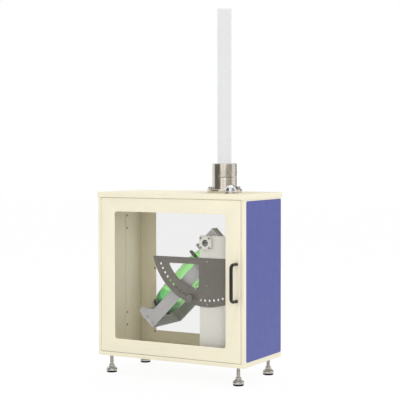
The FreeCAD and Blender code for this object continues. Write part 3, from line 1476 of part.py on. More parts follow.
def build_all():
    base_pan()
    side_panel("left_side_panel", -1, False)
    side_panel("right_side_panel", 1, True)
    lid_cap()
    rear_frame()
    rear_pane()
    wall_liner()
    panel_screws()
    side_overlay()
    door_frame()
    door_glazing()
    door_handle()
    handle_screws()
    door_pivot_pins()
    door_pivot_bushes()
    door_catch()
    column("front_column", 1)
    column("rear_column", -1)
    column_screws()
    quadrant_plate()
    quadrant_screws()
    bearing_housings()
    pivot_bearings()
    bearing_screws()
    cradle_arm("front_arm", 1)
    cradle_arm("rear_arm", -1)
    end_plate()
    bottle_plates()
    cradle_screws()
    stub_shafts()
    index_boss()
    clamp_body()
    lever_pin()
    clamp_lever()
    clamp_plunger()
    pressure_plate()
    sample_bottle()
    sample_cap()
    tube_collar()
    collar_clamp_screw()
    flange_screws()
    drop_tube()
    ball_seat()
    impact_ball()
    index_pin()
    feet()
    doc.recompute()


def check_all():
    """Stops if any object is in error or any sub-part's shape isn't sound."""
    for thing in doc.Objects:
        if "Invalid" in thing.State or "Error" in thing.State:
            raise ValueError(thing.Name + " is in error")
    for thing in made:
        if thing.Shape.isNull() or not thing.Shape.isValid() or not thing.Shape.Solids:
            raise ValueError(thing.Label + " has no sound shape")


def write_all():
    os.makedirs("parts", exist_ok=True)
    for thing in made:
        thing.Shape.exportStep("parts/" + thing.Label + ".step")
        print(thing.Label, round(thing.Shape.Volume), len(thing.Shape.Solids))


build_all()
check_all()
write_all()
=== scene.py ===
"""The looks of a drop-ball impact tester for bottle caps, laid out as a Blender add-on.

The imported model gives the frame: each piece here takes its place and size from the node that
it stands for, and rides on that node's body. Lengths are metres unless a name ends in _mm.
"""

import json
import math

import bpy
from mathutils import Matrix, Vector


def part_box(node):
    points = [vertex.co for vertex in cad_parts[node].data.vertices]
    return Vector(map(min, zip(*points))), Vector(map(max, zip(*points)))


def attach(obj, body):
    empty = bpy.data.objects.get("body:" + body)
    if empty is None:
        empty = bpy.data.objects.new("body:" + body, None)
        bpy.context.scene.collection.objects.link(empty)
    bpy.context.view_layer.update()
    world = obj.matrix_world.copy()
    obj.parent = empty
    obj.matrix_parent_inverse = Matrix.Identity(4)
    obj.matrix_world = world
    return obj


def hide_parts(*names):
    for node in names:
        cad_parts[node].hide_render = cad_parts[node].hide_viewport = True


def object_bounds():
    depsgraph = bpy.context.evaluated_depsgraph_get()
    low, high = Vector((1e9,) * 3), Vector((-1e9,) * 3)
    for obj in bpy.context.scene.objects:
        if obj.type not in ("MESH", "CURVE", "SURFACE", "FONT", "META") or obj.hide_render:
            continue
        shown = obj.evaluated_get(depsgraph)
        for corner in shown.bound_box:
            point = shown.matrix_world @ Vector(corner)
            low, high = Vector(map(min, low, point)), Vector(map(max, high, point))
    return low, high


bl_info = {
    "name": "Bottle Cap Impact Tester",
    "version": (1, 0, 0),
    "blender": (4, 5, 0),
    "location": "View3D > Sidebar > Tester",
    "description": "Models and finishes the pieces of a drop-ball tester for bottle caps",
    "category": "Object",
}

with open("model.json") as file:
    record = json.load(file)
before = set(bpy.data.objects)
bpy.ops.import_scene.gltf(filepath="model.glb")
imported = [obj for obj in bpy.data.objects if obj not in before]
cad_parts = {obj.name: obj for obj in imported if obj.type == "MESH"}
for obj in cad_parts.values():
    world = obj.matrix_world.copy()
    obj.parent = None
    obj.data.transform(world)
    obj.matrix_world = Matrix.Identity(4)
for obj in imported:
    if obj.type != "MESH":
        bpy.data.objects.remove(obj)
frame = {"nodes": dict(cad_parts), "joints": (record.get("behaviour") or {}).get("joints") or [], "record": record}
CAD_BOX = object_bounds()
MM = 0.001
ROUND_STEPS = 96
SMOOTH_ANGLE = math.radians(32)

BODY_OF = {node: body for body, nodes in frame["record"]["behaviour"]["bodies"].items()
           for node in nodes}
SLOT_OF = {part["node"]: part["material_slot"] for part in frame["record"]["subparts"]}
JOINTS = {joint["name"]: joint for joint in frame["joints"]}
PIVOT = Vector(JOINTS["cradle_tilt"]["pos_m"])
ALONG_BOTTLE = Vector(JOINTS["bottle_slide"]["axis"]).normalized()
finishes = {}


def srgb(red, green, blue):
    """A colour on the 0 to 255 display scale, as scene-linear values."""
    def linear(level):
        share = level / 255
        return share / 12.92 if share <= 0.04045 else ((share + 0.055) / 1.055) ** 2.4
    return tuple(linear(level) for level in (red, green, blue))


def tint(name, description, *levels):
    return bpy.props.FloatVectorProperty(name=name, description=description, subtype="COLOR",
                                         size=3, min=0, max=1, default=srgb(*levels))


def length(name, description, millimetres):
    return bpy.props.FloatProperty(name=name, description=description, unit="LENGTH",
                                   min=0, precision=4, default=millimetres * MM)


def share(name, description, value, most=1.0):
    return bpy.props.FloatProperty(name=name, description=description, subtype="FACTOR",
                                   min=0, max=most, default=value)


def count(name, description, value):
    return bpy.props.IntProperty(name=name, description=description, min=3, default=value)


class TesterColours(bpy.types.PropertyGroup):
    """The colours of the tester's finishes."""

    cream: tint("Cream paint", "Powder coat of the cabinet", 234, 227, 203)
    column: tint("Column paint", "Light grey coat of the columns and bearing housings",
                 222, 220, 210)
    dark_paint: tint("Quadrant paint", "Brown grey coat of the index plate", 112, 106, 98)
    cradle: tint("Cradle coat", "Grey coat of the cradle's arms", 180, 178, 176)
    overlay: tint("Overlay", "Blue film on the right wall", 70, 78, 152)
    steel: tint("Bright steel", "Turned and plated steel", 196, 194, 190)
    nickel: tint("Nickel", "Satin nickel of the collar", 214, 206, 192)
    chrome: tint("Chrome", "Polished ball, lever and knob", 226, 226, 228)
    bright_chrome: tint("Bright chrome", "Soft chrome of the clamp", 246, 246, 247)
    bearing: tint("Bearing", "Sealed face of the bearings", 128, 126, 122)
    zinc: tint("Zinc", "Plated screws", 190, 188, 176)
    plastic: tint("Black plastic", "Door handle", 24, 24, 25)
    rubber: tint("Rubber", "Pads and gasket", 26, 25, 24)
    magnet: tint("Magnet", "Brown plastic of the door magnet", 92, 78, 62)
    bottle: tint("Bottle", "Green tinted plastic of the sample bottle", 200, 252, 188)
    bottle_foot: tint("Bottle foot", "The thicker green of the bottle's feet", 112, 206, 132)
    cap: tint("Cap", "Green opaque plastic of the sample cap", 62, 158, 92)
    tube: tint("Tube", "Clear acrylic of the drop tube", 180, 183, 188)
    pane: tint("Pane", "Clear sheet of the door and the rear wall", 150, 153, 150)


class TesterSizes(bpy.types.PropertyGroup):
    """The sizes of the details that the pieces get here."""

    sheet_round: length("Sheet edge", "Rounding of a folded sheet's edges", 0.45)
    plate_round: length("Plate edge", "Rounding of a cut plate's edges", 0.5)
    block_round: length("Block edge", "Rounding of a turned or cast block's edges", 0.8)
    pane_round: length("Pane edge", "Rounding of a clear sheet's edges", 0.3)
    cap_ribs: count("Cap ribs", "Grip ribs round the sample cap", 72)
    rib_depth: length("Rib depth", "Depth of the cap's grip ribs", 0.45)
    petals: count("Petals", "Feet blown into the bottle's base", 5)
    petal_depth: length("Petal depth", "How far the valleys between the feet go in", 9)
    skin: length("Bottle skin", "Wall of the sample bottle", 0.9)
    thread_pitch: length("Thread pitch", "Pitch of the foot studs' thread", 1.75)
    thread_rise: length("Thread rise", "How far the studs' thread stands out", 0.28)
    thread_root: length("Thread root", "How far the studs' thread is sunk in its core", 0.3)
    small_round: length("Small part edge", "Rounding of pins, studs and the handle", 0.4)
    screw_round: length("Bolt edge", "Rounding of bolt heads, nuts and the index pin", 0.35)
    ring_round: length("Ring edge", "Rounding of the ball's seat and the lock nuts", 0.5)
    lever_round: length("Lever edge", "Rounding of the clamp's lever", 1.2)
    handle_thick: length("Handle", "Thickness of the door handle's bar", 10)
    handle_bend: length("Handle bend", "Radius of the door handle's two bends", 13.5)


class TesterStudio(bpy.types.PropertyGroup):
    """The camera and the lights."""

    lens: bpy.props.FloatProperty(name="Lens", description="Focal length of the camera",
                                  default=106.0, unit="CAMERA", min=1)
    place: bpy.props.FloatVectorProperty(name="Camera place", subtype="TRANSLATION", size=3,
                                         description="Where the camera stands",
                                         default=(1.9726, -3.3669, 0.7405))
    turn: bpy.props.FloatVectorProperty(name="Camera turn", subtype="EULER", size=3,
                                        description="How the camera is turned",
                                        default=(math.radians(87.657), math.radians(0.087),
                                                 math.radians(29.695)))
    sky: share("Sky", "Strength of the even light from all round", 0.96, 5)
    key: bpy.props.FloatProperty(name="Key", description="Power of the lamp on the left",
                                 unit="POWER", min=0, default=7)
    front: bpy.props.FloatProperty(name="Front", description="Power of the lamp by the camera",
                                   unit="POWER", min=0, default=25)
    fill: bpy.props.FloatProperty(name="Fill", description="Power of the lamp on the right",
                                  unit="POWER", min=0, default=4)
    back: bpy.props.FloatProperty(name="Back", description="Power of the lamp behind",
                                  unit="POWER", min=0, default=26)
    overhead: bpy.props.FloatProperty(name="Overhead", description="Power of the lamp above",
                                      unit="POWER", min=0, default=10)
    floor: tint("Floor", "Colour of the floor", 250, 250, 250)
    floor_glow: share("Floor glow", "How far the floor is lifted to white for the camera", 0.93)


# Finishes

class Finish:
    """A node material, built up from a Principled shader and textures on Object coordinates."""

    def __init__(self, name, roughness, metallic=0.0):
        self.material = bpy.data.materials.new(name)
        self.material.use_nodes = True
        self.tree = self.material.node_tree
        self.shader = self.tree.nodes["Principled BSDF"]
        self.shader.inputs["Roughness"].default_value = roughness
        self.shader.inputs["Metallic"].default_value = metallic
        self.place = self.node("ShaderNodeTexCoord").outputs["Object"]
        self.height = None
        finishes[name] = self.material

    def node(self, kind, **inputs):
        made = self.tree.nodes.new(kind)
        for name, value in inputs.items():
            made.inputs[name.replace("_", " ")].default_value = value
        return made

    def link(self, output, socket):
        self.tree.links.new(output, socket)

    def set(self, **inputs):
        for name, value in inputs.items():
            self.shader.inputs[name.replace("_", " ")].default_value = value

    def stretched(self, scale):
        """Object coordinates drawn out, so that a texture runs in streaks."""
        mapping = self.node("ShaderNodeMapping", Scale=scale)
        self.link(self.place, mapping.inputs["Vector"])
        return mapping.outputs["Vector"]

    def noise(self, size_mm, detail=3.0, stretch=None):
        """Soft noise whose patches are about size_mm across."""
        texture = self.node("ShaderNodeTexNoise", Scale=1000.0 / size_mm, Detail=detail)
        self.link(self.stretched(stretch) if stretch else self.place, texture.inputs["Vector"])
        return texture.outputs["Fac"]

    def range(self, value, low, high, inner=(0.3, 0.7)):
        """Spreads the middle of a texture's values from low to high."""
        spread = self.node("ShaderNodeMapRange", From_Min=inner[0], From_Max=inner[1],
                           To_Min=low, To_Max=high)
        self.link(value, spread.inputs["Value"])
        return spread.outputs["Result"]

    def colour(self, colour, spread=0.03, size_mm=60.0, stretch=None):
        """The base colour, a little lighter and darker in soft patches."""
        mix = self.node("ShaderNodeMix")
        mix.data_type = "RGBA"
        darker = tuple(channel * (1 - spread) for channel in colour)
        lighter = tuple(min(1.0, channel * (1 + spread)) for channel in colour)
        mix.inputs["A"].default_value = darker + (1,)
        mix.inputs["B"].default_value = lighter + (1,)
        self.link(self.range(self.noise(size_mm, 4.0, stretch), 0, 1), mix.inputs["Factor"])
        self.link(mix.outputs["Result"], self.shader.inputs["Base Color"])
        return mix

    def roughness(self, low, high, size_mm=25.0, stretch=None):
        """Roughness that wanders between two values, as handled surfaces do."""
        self.link(self.range(self.noise(size_mm, 5.0, stretch), low, high),
                  self.shader.inputs["Roughness"])

    def relief(self, size_mm, depth_mm, detail=2.0, strength=0.5, stretch=None):
        """Fine bumps. Called again, it adds a further layer of bumps."""
        bump = self.node("ShaderNodeBump", Strength=strength, Distance=depth_mm * MM)
        self.link(self.noise(size_mm, detail, stretch), bump.inputs["Height"])
        if self.height:
            self.link(self.height, bump.inputs["Normal"])
        self.height = bump.outputs["Normal"]
        self.link(self.height, self.shader.inputs["Normal"])

    def worn(self, mix, worn_and_highlit_colour, amount):
        """Shows a lighter colour on sharp convex edges: partly paint rubbed thin, partly a painted edge highlight.
        """
        edge = self.node("ShaderNodeNewGeometry").outputs["Pointiness"]
        wear_and_highlight_share = self.range(edge, 0, amount, (0.53, 0.62))
        over = self.node("ShaderNodeMix")
        over.data_type = "RGBA"
        over.inputs["B"].default_value = tuple(worn_and_highlit_colour) + (1,)
        self.link(wear_and_highlight_share, over.inputs["Factor"])
        self.link(mix.outputs["Result"], over.inputs["A"])
        self.link(over.outputs["Result"], self.shader.inputs["Base Color"])


def powder_coat(name, colour, grain_mm=1.1, worn=0.0):
    """Baked powder paint: a fine orange peel, slightly uneven gloss."""
    coat = Finish(name, 0.5)
    mix = coat.colour(colour, 0.018, 90)
    coat.roughness(0.42, 0.56, 40)
    coat.relief(grain_mm, 0.05, 3.0, 0.35)
    coat.relief(7.0, 0.05, 1.0, 0.12)
    # Lighter sharp edges: rubbed paint and a painted edge highlight.
    if worn:
        coat.worn(mix, [min(1, channel * 1.9 + 0.08) for channel in colour], worn)
    coat.set(Specular_IOR_Level=0.42)


def sheet_steel(name, colour):
    """Grey coated cradle sheet: nearly flat, with a faint rolled streak."""
    steel = Finish(name, 0.45, 0.15)
    mix = steel.colour(colour, 0.03, 35, (1, 1, 0.2))
    steel.roughness(0.38, 0.52, 12, (1, 1, 0.15))
    steel.relief(0.9, 0.03, 2.0, 0.25)
    # Lighter sharp edges: rubbed paint and a painted edge highlight.
    steel.worn(mix, [min(1, channel * 1.5) for channel in colour], 0.5)


def turned_steel(name, colour, low=0.16, high=0.32):
    """Machined, plated steel with fine tool lines round the axis."""
    steel = Finish(name, low, 1.0)
    steel.colour(colour, 0.05, 14)
    steel.roughness(low, high, 6, (0.3, 0.3, 6))
    steel.relief(0.35, 0.02, 1.0, 0.18, (0.05, 0.05, 1))


def satin_nickel(name, colour):
    """The collar's turned satin nickel: level tool lines and a warm grey."""
    nickel = Finish(name, 0.22, 1.0)
    nickel.colour(colour, 0.04, 30, (0.2, 0.2, 3))
    nickel.roughness(0.17, 0.27, 8, (0.08, 0.08, 3))
    nickel.relief(0.5, 0.03, 1.0, 0.12, (0.03, 0.03, 1))


def polished_chrome(name, colour, low=0.035, high=0.11):
    """Mirror chrome with faint handling marks."""
    chrome = Finish(name, low, 1.0)
    chrome.colour(colour, 0.02, 20)
    chrome.roughness(low, high, 9)
    chrome.relief(18, 0.02, 1.0, 0.05)


def zinc_plate(name, colour):
    """Dull zinc on small screws."""
    zinc = Finish(name, 0.34, 1.0)
    zinc.colour(colour, 0.12, 2.5)
    zinc.roughness(0.26, 0.48, 1.5)
    zinc.relief(0.5, 0.02, 2.0, 0.3)


def moulded_plastic(name, colour, low, high, grain_mm=0.6, depth_mm=0.03):
    """Moulded plastic with a fine spark grain."""
    plastic = Finish(name, low)
    plastic.colour(colour, 0.1, 18)
    plastic.roughness(low, high, 10)
    plastic.relief(grain_mm, depth_mm, 2.0, 0.3)


def soft_rubber(name, colour):
    rubber = Finish(name, 0.8)
    rubber.colour(colour, 0.18, 6)
    rubber.roughness(0.7, 0.9, 3)
    rubber.relief(0.8, 0.06, 3.0, 0.5)
    rubber.set(Specular_IOR_Level=0.3)


def vinyl_film(name, colour):
    """The overlay: a printed polyester film with a very fine matt grain."""
    film = Finish(name, 0.42)
    film.colour(colour, 0.02, 160)
    film.roughness(0.36, 0.46, 30)
    film.relief(0.4, 0.02, 1.0, 0.2)
    film.set(Coat_Weight=0.05, Coat_Roughness=0.3)


def clear_sheet(name, colour, alpha):
    """Thin clear sheet: mostly open, with the gloss of both faces and faint wipe marks."""
    pane = Finish(name, 0.06)
    pane.colour(colour, 0.01, 120)
    pane.roughness(0.03, 0.12, 35)
    pane.set(Alpha=alpha, IOR=1.49)


def clear_acrylic(name, colour):
    """The drop tube: clear acrylic, taken as thin sheet so that its edges render clean."""
    tube = Finish(name, 0.03)
    tube.colour(colour, 0.012, 30, (1, 1, 0.15))
    tube.set(IOR=1.49, Alpha=0.12)


def tinted_bottle(name, colour):
    """Blown green plastic: clear, with slow waves in its wall."""
    skin = Finish(name, 0.06)
    skin.colour(colour, 0.05, 45)
    skin.roughness(0.04, 0.12, 15)
    skin.relief(26, 0.5, 1.5, 0.25)
    skin.set(Transmission_Weight=1.0, IOR=1.3, Alpha=0.8)


def make_finishes(colours):
    powder_coat("cream_paint", colours.cream)
    powder_coat("column_paint", colours.column)
    # The index plate's paint gets lighter sharp edges: rubbed paint and a painted edge highlight.
    powder_coat("quadrant_paint", colours.dark_paint, 0.9, 0.6)
    sheet_steel("arm_steel", colours.cradle)
    vinyl_film("blue_overlay", colours.overlay)
    turned_steel("bright_steel", colours.steel)
    turned_steel("bearing_steel", colours.bearing, 0.2, 0.32)
    satin_nickel("nickel_collar", colours.nickel)
    polished_chrome("ball_chrome", colours.chrome)
    polished_chrome("clamp_chrome", colours.bright_chrome, 0.2, 0.3)
    turned_steel("clamp_steel", colours.steel, 0.24, 0.4)
    zinc_plate("zinc_screws", colours.zinc)
    moulded_plastic("black_plastic", colours.plastic, 0.28, 0.4)
    moulded_plastic("magnet_plastic", colours.magnet, 0.5, 0.65)
    moulded_plastic("green_cap", colours.cap, 0.3, 0.42)
    soft_rubber("black_rubber", colours.rubber)
    clear_sheet("clear_pane", colours.pane, 0.05)
    clear_acrylic("clear_tube", colours.tube)
    tinted_bottle("green_bottle", colours.bottle)
    tinted_bottle("green_bottle_foot", colours.bottle_foot)


# Shared steps of modelling

def pick(*pieces):
    """Leaves only these pieces selected, the first one active."""
    if bpy.context.object and bpy.context.object.mode != "OBJECT":
        bpy.ops.object.mode_set(mode="OBJECT")
    bpy.ops.object.select_all(action="DESELECT")
    for piece in pieces:
        piece.select_set(True)
    bpy.context.view_layer.objects.active = pieces[0]


def edit(piece, mode="VERT"):
    pick(piece)
    bpy.ops.object.mode_set(mode="EDIT")
    bpy.ops.mesh.select_mode(type=mode)


def leave_edit():
    bpy.ops.object.mode_set(mode="OBJECT")


def apply_modifier(piece, kind, **settings):
    pick(piece)
    modifier = piece.modifiers.new(kind.title(), kind)
    for name, value in settings.items():
        setattr(modifier, name, value)
    bpy.ops.object.modifier_apply(modifier=modifier.name)


def rounded_edges(piece, width, segments=2, sharpest=math.radians(32)):
    """Rounds every edge sharper than an angle and shades the rest smooth."""
    apply_modifier(piece, "BEVEL", width=width, segments=segments, limit_method="ANGLE",
                   angle_limit=sharpest, use_clamp_overlap=True, miter_outer="MITER_ARC")
    smooth(piece)


def smooth(piece, angle=SMOOTH_ANGLE):
    pick(piece)
    bpy.ops.object.shade_smooth_by_angle(angle=angle)


def close_up(piece, gap=1e-6):
    """Merges doubled points and turns the faces outwards."""
    edit(piece)
    bpy.ops.mesh.select_all(action="SELECT")
    bpy.ops.mesh.remove_doubles(threshold=gap)
    bpy.ops.mesh.normals_make_consistent(inside=False)
    leave_edit()


def settle(piece, matrix):
    """Moves a piece to its place and leaves its object at the origin, the place in its mesh."""
    piece.matrix_world = matrix
    pick(piece)
    bpy.ops.object.transform_apply(location=True, rotation=True, scale=True)


def dress(piece, node, slot=None):
    """Names a finished piece for its node, and gives it that node's finish and body."""
    slot = slot or SLOT_OF[node]
    piece.name = node + "_finished"
    piece.data.name = piece.name
    piece.data.materials.clear()
    piece.data.materials.append(finishes[slot])
    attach(piece, BODY_OF[node])
    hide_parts(node)


def merged_copy(node):
    """A free copy of a node's mesh with its seams merged and its flat faces whole."""
    piece = bpy.data.objects.new(node + "_copy", frame["nodes"][node].data.copy())
    bpy.context.scene.collection.objects.link(piece)
    pick(piece)
    bpy.ops.mesh.customdata_custom_splitnormals_clear()
    edit(piece)
    bpy.ops.mesh.select_all(action="SELECT")
    bpy.ops.mesh.remove_doubles(threshold=2e-6)
    bpy.ops.mesh.dissolve_limited(angle_limit=math.radians(0.4))
    leave_edit()
    return piece


def softened(node, width, segments=2, slot=None):
    """A node's own form with its sharp edges rounded."""
    piece = merged_copy(node)
    rounded_edges(piece, width, segments)
    dress(piece, node, slot)


def ring_at(radius, height, vertices=ROUND_STEPS, fill="NOTHING"):
    bpy.ops.mesh.primitive_circle_add(vertices=vertices, radius=radius, fill_type=fill,
                                      location=(0, 0, height))
    return bpy.context.object


def turned(profile_mm, vertices=ROUND_STEPS):
    """A form turned about Z: a ring extruded from (radius, height) to (radius, height).

    A profile that starts or ends at radius 0 is closed by a pole there. One that ends where it
    starts is a closed ring.
    """
    spots = [(radius * MM, height * MM) for radius, height in profile_mm]
    pole_first, pole_last = spots[0][0] == 0, spots[-1][0] == 0
    rings = spots[pole_first:len(spots) - pole_last]
    bpy.ops.object.select_all(action="DESELECT")
    piece = ring_at(*rings[0], vertices, "TRIFAN" if pole_first else "NOTHING")
    if pole_first:
        centre = min(piece.data.vertices, key=lambda point: point.co.xy.length)
        centre.co.z = spots[0][1] - rings[0][1]
    edit(piece)
    bpy.ops.mesh.select_all(action="SELECT")
    if pole_first:
        bpy.ops.mesh.region_to_loop()
    for (radius, height), (next_radius, next_height) in zip(rings, rings[1:]):
        bpy.ops.mesh.extrude_region_move(
            TRANSFORM_OT_translate={"value": (0, 0, next_height - height)})
        grow = next_radius / radius
        bpy.ops.transform.resize(value=(grow, grow, 1), center_override=(0, 0, next_height))
    if pole_last:
        bpy.ops.mesh.extrude_region_move(
            TRANSFORM_OT_translate={"value": (0, 0, spots[-1][1] - rings[-1][1])})
        bpy.ops.mesh.merge(type="CENTER")
    leave_edit()
    settle(piece, piece.matrix_world.copy())
    close_up(piece)
    return piece


def arc(x, y, radius, start_deg, end_deg, steps=6):
    """Points on an arc, for a profile's rounded corner."""
    angles = [math.radians(start_deg + (end_deg - start_deg) * i / steps)
              for i in range(steps + 1)]
    return [(x + radius * math.cos(angle), y + radius * math.sin(angle)) for angle in angles]


def swept(section_mm, path_mm, squareness=1.0, vertices=28):
    """A bar drawn along a path in the YZ plane, its section square to the path.

    section_mm is (across X, across the path) and each spot of the path is (y, z, scale).
    """
    spots = [(Vector((0, y, z)) * MM, scale) for y, z, scale in path_mm]
    bpy.ops.object.select_all(action="DESELECT")
    piece = ring_at(0.5 * MM, 0, vertices, "NGON")
    for point in piece.data.vertices:
        for axis in (0, 1):
            part = point.co[axis] / (0.5 * MM)
            bent = math.copysign(abs(part) ** squareness, part)
            point.co[axis] = bent * section_mm[axis] * MM / 2
    edit(piece)
    bpy.ops.mesh.select_all(action="SELECT")
    upright = Vector((0, 0, 1))
    facing = (spots[1][0] - spots[0][0]).normalized()
    turn_section(upright, facing, Vector())
    bpy.ops.transform.translate(value=spots[0][0])
    for i in range(1, len(spots)):
        (here, was), (there, scale) = spots[i - 1], spots[i]
        bpy.ops.mesh.extrude_region_move(TRANSFORM_OT_translate={"value": there - here})
        following = spots[min(i + 1, len(spots) - 1)][0] - here
        new_facing = following.normalized()
        turn_section(facing, new_facing, there)
        facing = new_facing
        grow = scale / was
        bpy.ops.transform.resize(value=(grow,) * 3, center_override=there)
    leave_edit()
    settle(piece, piece.matrix_world.copy())
    close_up(piece)
    return piece


def turn_section(old, new, centre):
    """Turns the selected section about X from one direction to another."""
    angle = math.atan2(old.cross(new).x, old.dot(new))
    if abs(angle) > 1e-6:
        bpy.ops.transform.rotate(value=-angle, orient_axis="X", orient_type="GLOBAL",
                                 center_override=centre)


def joined_pieces(pieces):
    pick(*pieces)
    if len(pieces) > 1:
        bpy.ops.object.join()
    return bpy.context.object


def islands(node):
    """The lowest and highest corners of each separate solid of a node."""
    piece = merged_copy(node)
    edit(piece)
    bpy.ops.mesh.select_all(action="SELECT")
    bpy.ops.mesh.separate(type="LOOSE")
    leave_edit()
    found = []
    for part in list(bpy.context.selected_objects):
        corners = [Vector(corner) for corner in part.bound_box]
        found.append((Vector(map(min, *corners)), Vector(map(max, *corners))))
        bpy.data.objects.remove(part)
    return sorted(found, key=lambda box: tuple(box[0]))


def aimed(direction, at):
    """The matrix that lays a piece's own +Z along a direction from a spot."""
    turn = Vector(direction).to_track_quat("Z", "Y").to_matrix().to_4x4()
    return Matrix.Translation(at) @ turn


# Screws

def cut_with(piece, cutter):
    apply_modifier(piece, "BOOLEAN", operation="DIFFERENCE", object=cutter, solver="EXACT")
    bpy.data.objects.remove(cutter)


def cross_cutter(radius, depth, top):
    """A tapered cross for a screwdriver."""
    bars = []
    for turn in (0, 1):
        bpy.ops.object.select_all(action="DESELECT")
        bpy.ops.mesh.primitive_cube_add(size=1, location=(0, 0, top))
        bar = bpy.context.object
        long, thin = radius * 1.15, radius * 0.26
        bar.scale = (thin, long, 2 * depth) if turn else (long, thin, 2 * depth)
        bars.append(bar)
    pick(*bars)
    bpy.ops.object.transform_apply(location=False, rotation=False, scale=True)
    apply_modifier(bars[0], "BOOLEAN", operation="UNION", object=bars[1], solver="EXACT")
    bpy.data.objects.remove(bars[1])
    edit(bars[0])
    bpy.ops.mesh.select_all(action="DESELECT")
    leave_edit()
    for point in bars[0].data.vertices:
        point.select = point.co.z < 0
    edit(bars[0])
    bpy.ops.transform.resize(value=(0.55, 0.55, 1), center_override=(0, 0, top - depth))
    leave_edit()
    return bars[0]


def hex_cutter(radius, depth, top):
    bpy.ops.object.select_all(action="DESELECT")
    bpy.ops.mesh.primitive_cylinder_add(vertices=6, radius=radius * 0.52, depth=2 * depth,
                                        location=(0, 0, top))
    return bpy.context.object


def screw_form(radius_mm, head_mm, shank_mm, long_mm, drive):
    """One screw: a rounded head with its drive, and a shank with a chamfered tip."""
    if drive == "cross":
        dome = [(radius_mm, 0.2 * head_mm), (radius_mm * 0.97, 0.5 * head_mm),
                (radius_mm * 0.85, 0.78 * head_mm), (radius_mm * 0.6, 0.94 * head_mm),
                (radius_mm * 0.3, head_mm)]
    else:
        edge = 0.12 * radius_mm
        dome = [(radius_mm, 0.1 * head_mm)] + arc(radius_mm - edge, head_mm - edge, edge, 0, 90, 3)
    profile = [(0, -long_mm), (shank_mm * 0.7, -long_mm), (shank_mm, -long_mm + shank_mm * 0.3),
               (shank_mm, 0), (radius_mm * 0.97, 0)] + dome + [(0, head_mm)]
    piece = turned(profile, 40)
    cutter = cross_cutter if drive == "cross" else hex_cutter
    depth = 0.45 * head_mm * MM if drive == "cross" else 0.55 * head_mm * MM
    cut_with(piece, cutter(radius_mm * MM, depth, head_mm * MM))
    close_up(piece)
    rounded_edges(piece, 0.08 * MM, 1, math.radians(50))
    return piece


def screw_facing(node, low, high):
    """The way a screw's head points, from where it sits in its node."""
    middle = (low + high) / 2
    if node == "column_screws":
        return Vector((0, 0, 1))
    if node in ("bearing_screws", "cradle_screws"):
        return Vector((0, -1 if middle.y < PIVOT.y else 1, 0))
    if node == "handle_screws":
        return Vector((0, 1, 0))
    spans = high - low
    liner_screw = node == "panel_screws" and spans.x < 0.8 * spans.y
    return Vector((1, 0, 0)) if liner_screw else Vector((0, -1, 0))


# Each row: head height and shank radius as shares of the head's radius, and the drive
SCREWS = {
    "panel_screws": (0.65, 0.44, "cross"), "handle_screws": (0.57, 0.5, "cross"),
    "column_screws": (0.67, 0.55, "hex"), "quadrant_screws": (0.58, 0.55, "cross"),
    "bearing_screws": (0.67, 0.55, "hex"), "cradle_screws": (0.66, 0.36, "cross"),
}


def dressed_screws(node):
    """All the screws of one node, each set where its solid is."""
    head_share, shank_share, drive = SCREWS[node]
    pieces, forms = [], {}
    for low, high in islands(node):
        facing = screw_facing(node, low, high)
        spans = high - low
        axis = max(range(3), key=lambda i: abs(facing[i]))
        radius = max(spans[i] for i in range(3) if i != axis) / 2
        head = head_share * radius
        long = spans[axis] - head
        key = (round(radius / MM, 1), round(long / MM, 1))
        if key not in forms:
            forms[key] = screw_form(radius / MM, head / MM, shank_share * radius / MM,
                                    long / MM, drive)
        piece = forms[key].copy()
        piece.data = forms[key].data.copy()
        bpy.context.scene.collection.objects.link(piece)
        top = (low + high) / 2 + facing * spans[axis] / 2
        settle(piece, aimed(facing, top - facing * head))
        pieces.append(piece)
    for form in forms.values():
        bpy.data.objects.remove(form)
    # The panel screws take the dark brown-grey quadrant paint so that they read as dark spots: painted screws,
    # with the darkness standing partly for painted shade in their recesses.
    slot = "quadrant_paint" if node == "panel_screws" else None
    dress(joined_pieces(pieces), node, slot)


# Operators

class TESTER_OT_finishes(bpy.types.Operator):
    """Makes the finishes and paints the frame's own nodes with them"""

    bl_idname = "tester.finishes"
    bl_label = "Finishes"

    def execute(self, context):
        make_finishes(context.scene.tester_colours)
        for node, shape in frame["nodes"].items():
            shape.data.materials.clear()
            shape.data.materials.append(finishes[SLOT_OF[node]])
        return {"FINISHED"}


class TESTER_OT_cabinet(bpy.types.Operator):
    """Rounds the folded edges of the cabinet's and the door's sheets"""

    bl_idname = "tester.cabinet"
    bl_label = "Cabinet and door"

    def execute(self, context):
        sizes = context.scene.tester_sizes
        for node in ("base_pan", "lid_cap", "left_side_panel", "right_side_panel",
                     "rear_frame", "wall_liner", "door_frame", "pane_retainer"):
            softened(node, sizes.sheet_round)
        for node in ("rear_pane", "door_pane", "side_overlay", "pane_gasket"):
            softened(node, sizes.pane_round, 1)
        for node in ("strike_plate", "door_magnet", "door_pivot_pins", "door_pivot_bushes"):
            softened(node, sizes.pane_round)
        return {"FINISHED"}


class TESTER_OT_handle(bpy.types.Operator):
    """Models the bow handle as a rounded bar with two feet"""

    bl_idname = "tester.handle"
    bl_label = "Door handle"

    def execute(self, context):
        low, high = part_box("door_handle")
        span = high - low
        sizes = context.scene.tester_sizes
        wide, thick_mm = span.x / MM, sizes.handle_thick / MM
        reach, half = span.y / MM - thick_mm / 2, span.z / MM / 2 - thick_mm / 2
        bend = sizes.handle_bend / MM
        foot = 1.12
        path = [(0, -half, foot), (-2.5, -half, foot), (-4, -half, 1.0),
                (-reach + bend, -half, 1.0)]
        path += [(y, z, 1.0) for y, z in arc(-reach + bend, -half + bend, bend, 270, 180, 8)[1:]]
        path += [(y, z, 1.0) for y, z in arc(-reach + bend, half - bend, bend, 180, 90, 8)]
        path += [(-4, half, 1.0), (-2.5, half, foot), (0, half, foot)]
        bow = swept((wide, thick_mm), path, 0.75)
        middle = (low + high) / 2
        settle(bow, Matrix.Translation((middle.x, high.y, middle.z)))
        rounded_edges(bow, sizes.small_round, 2, math.radians(50))
        dress(bow, "door_handle")
        return {"FINISHED"}


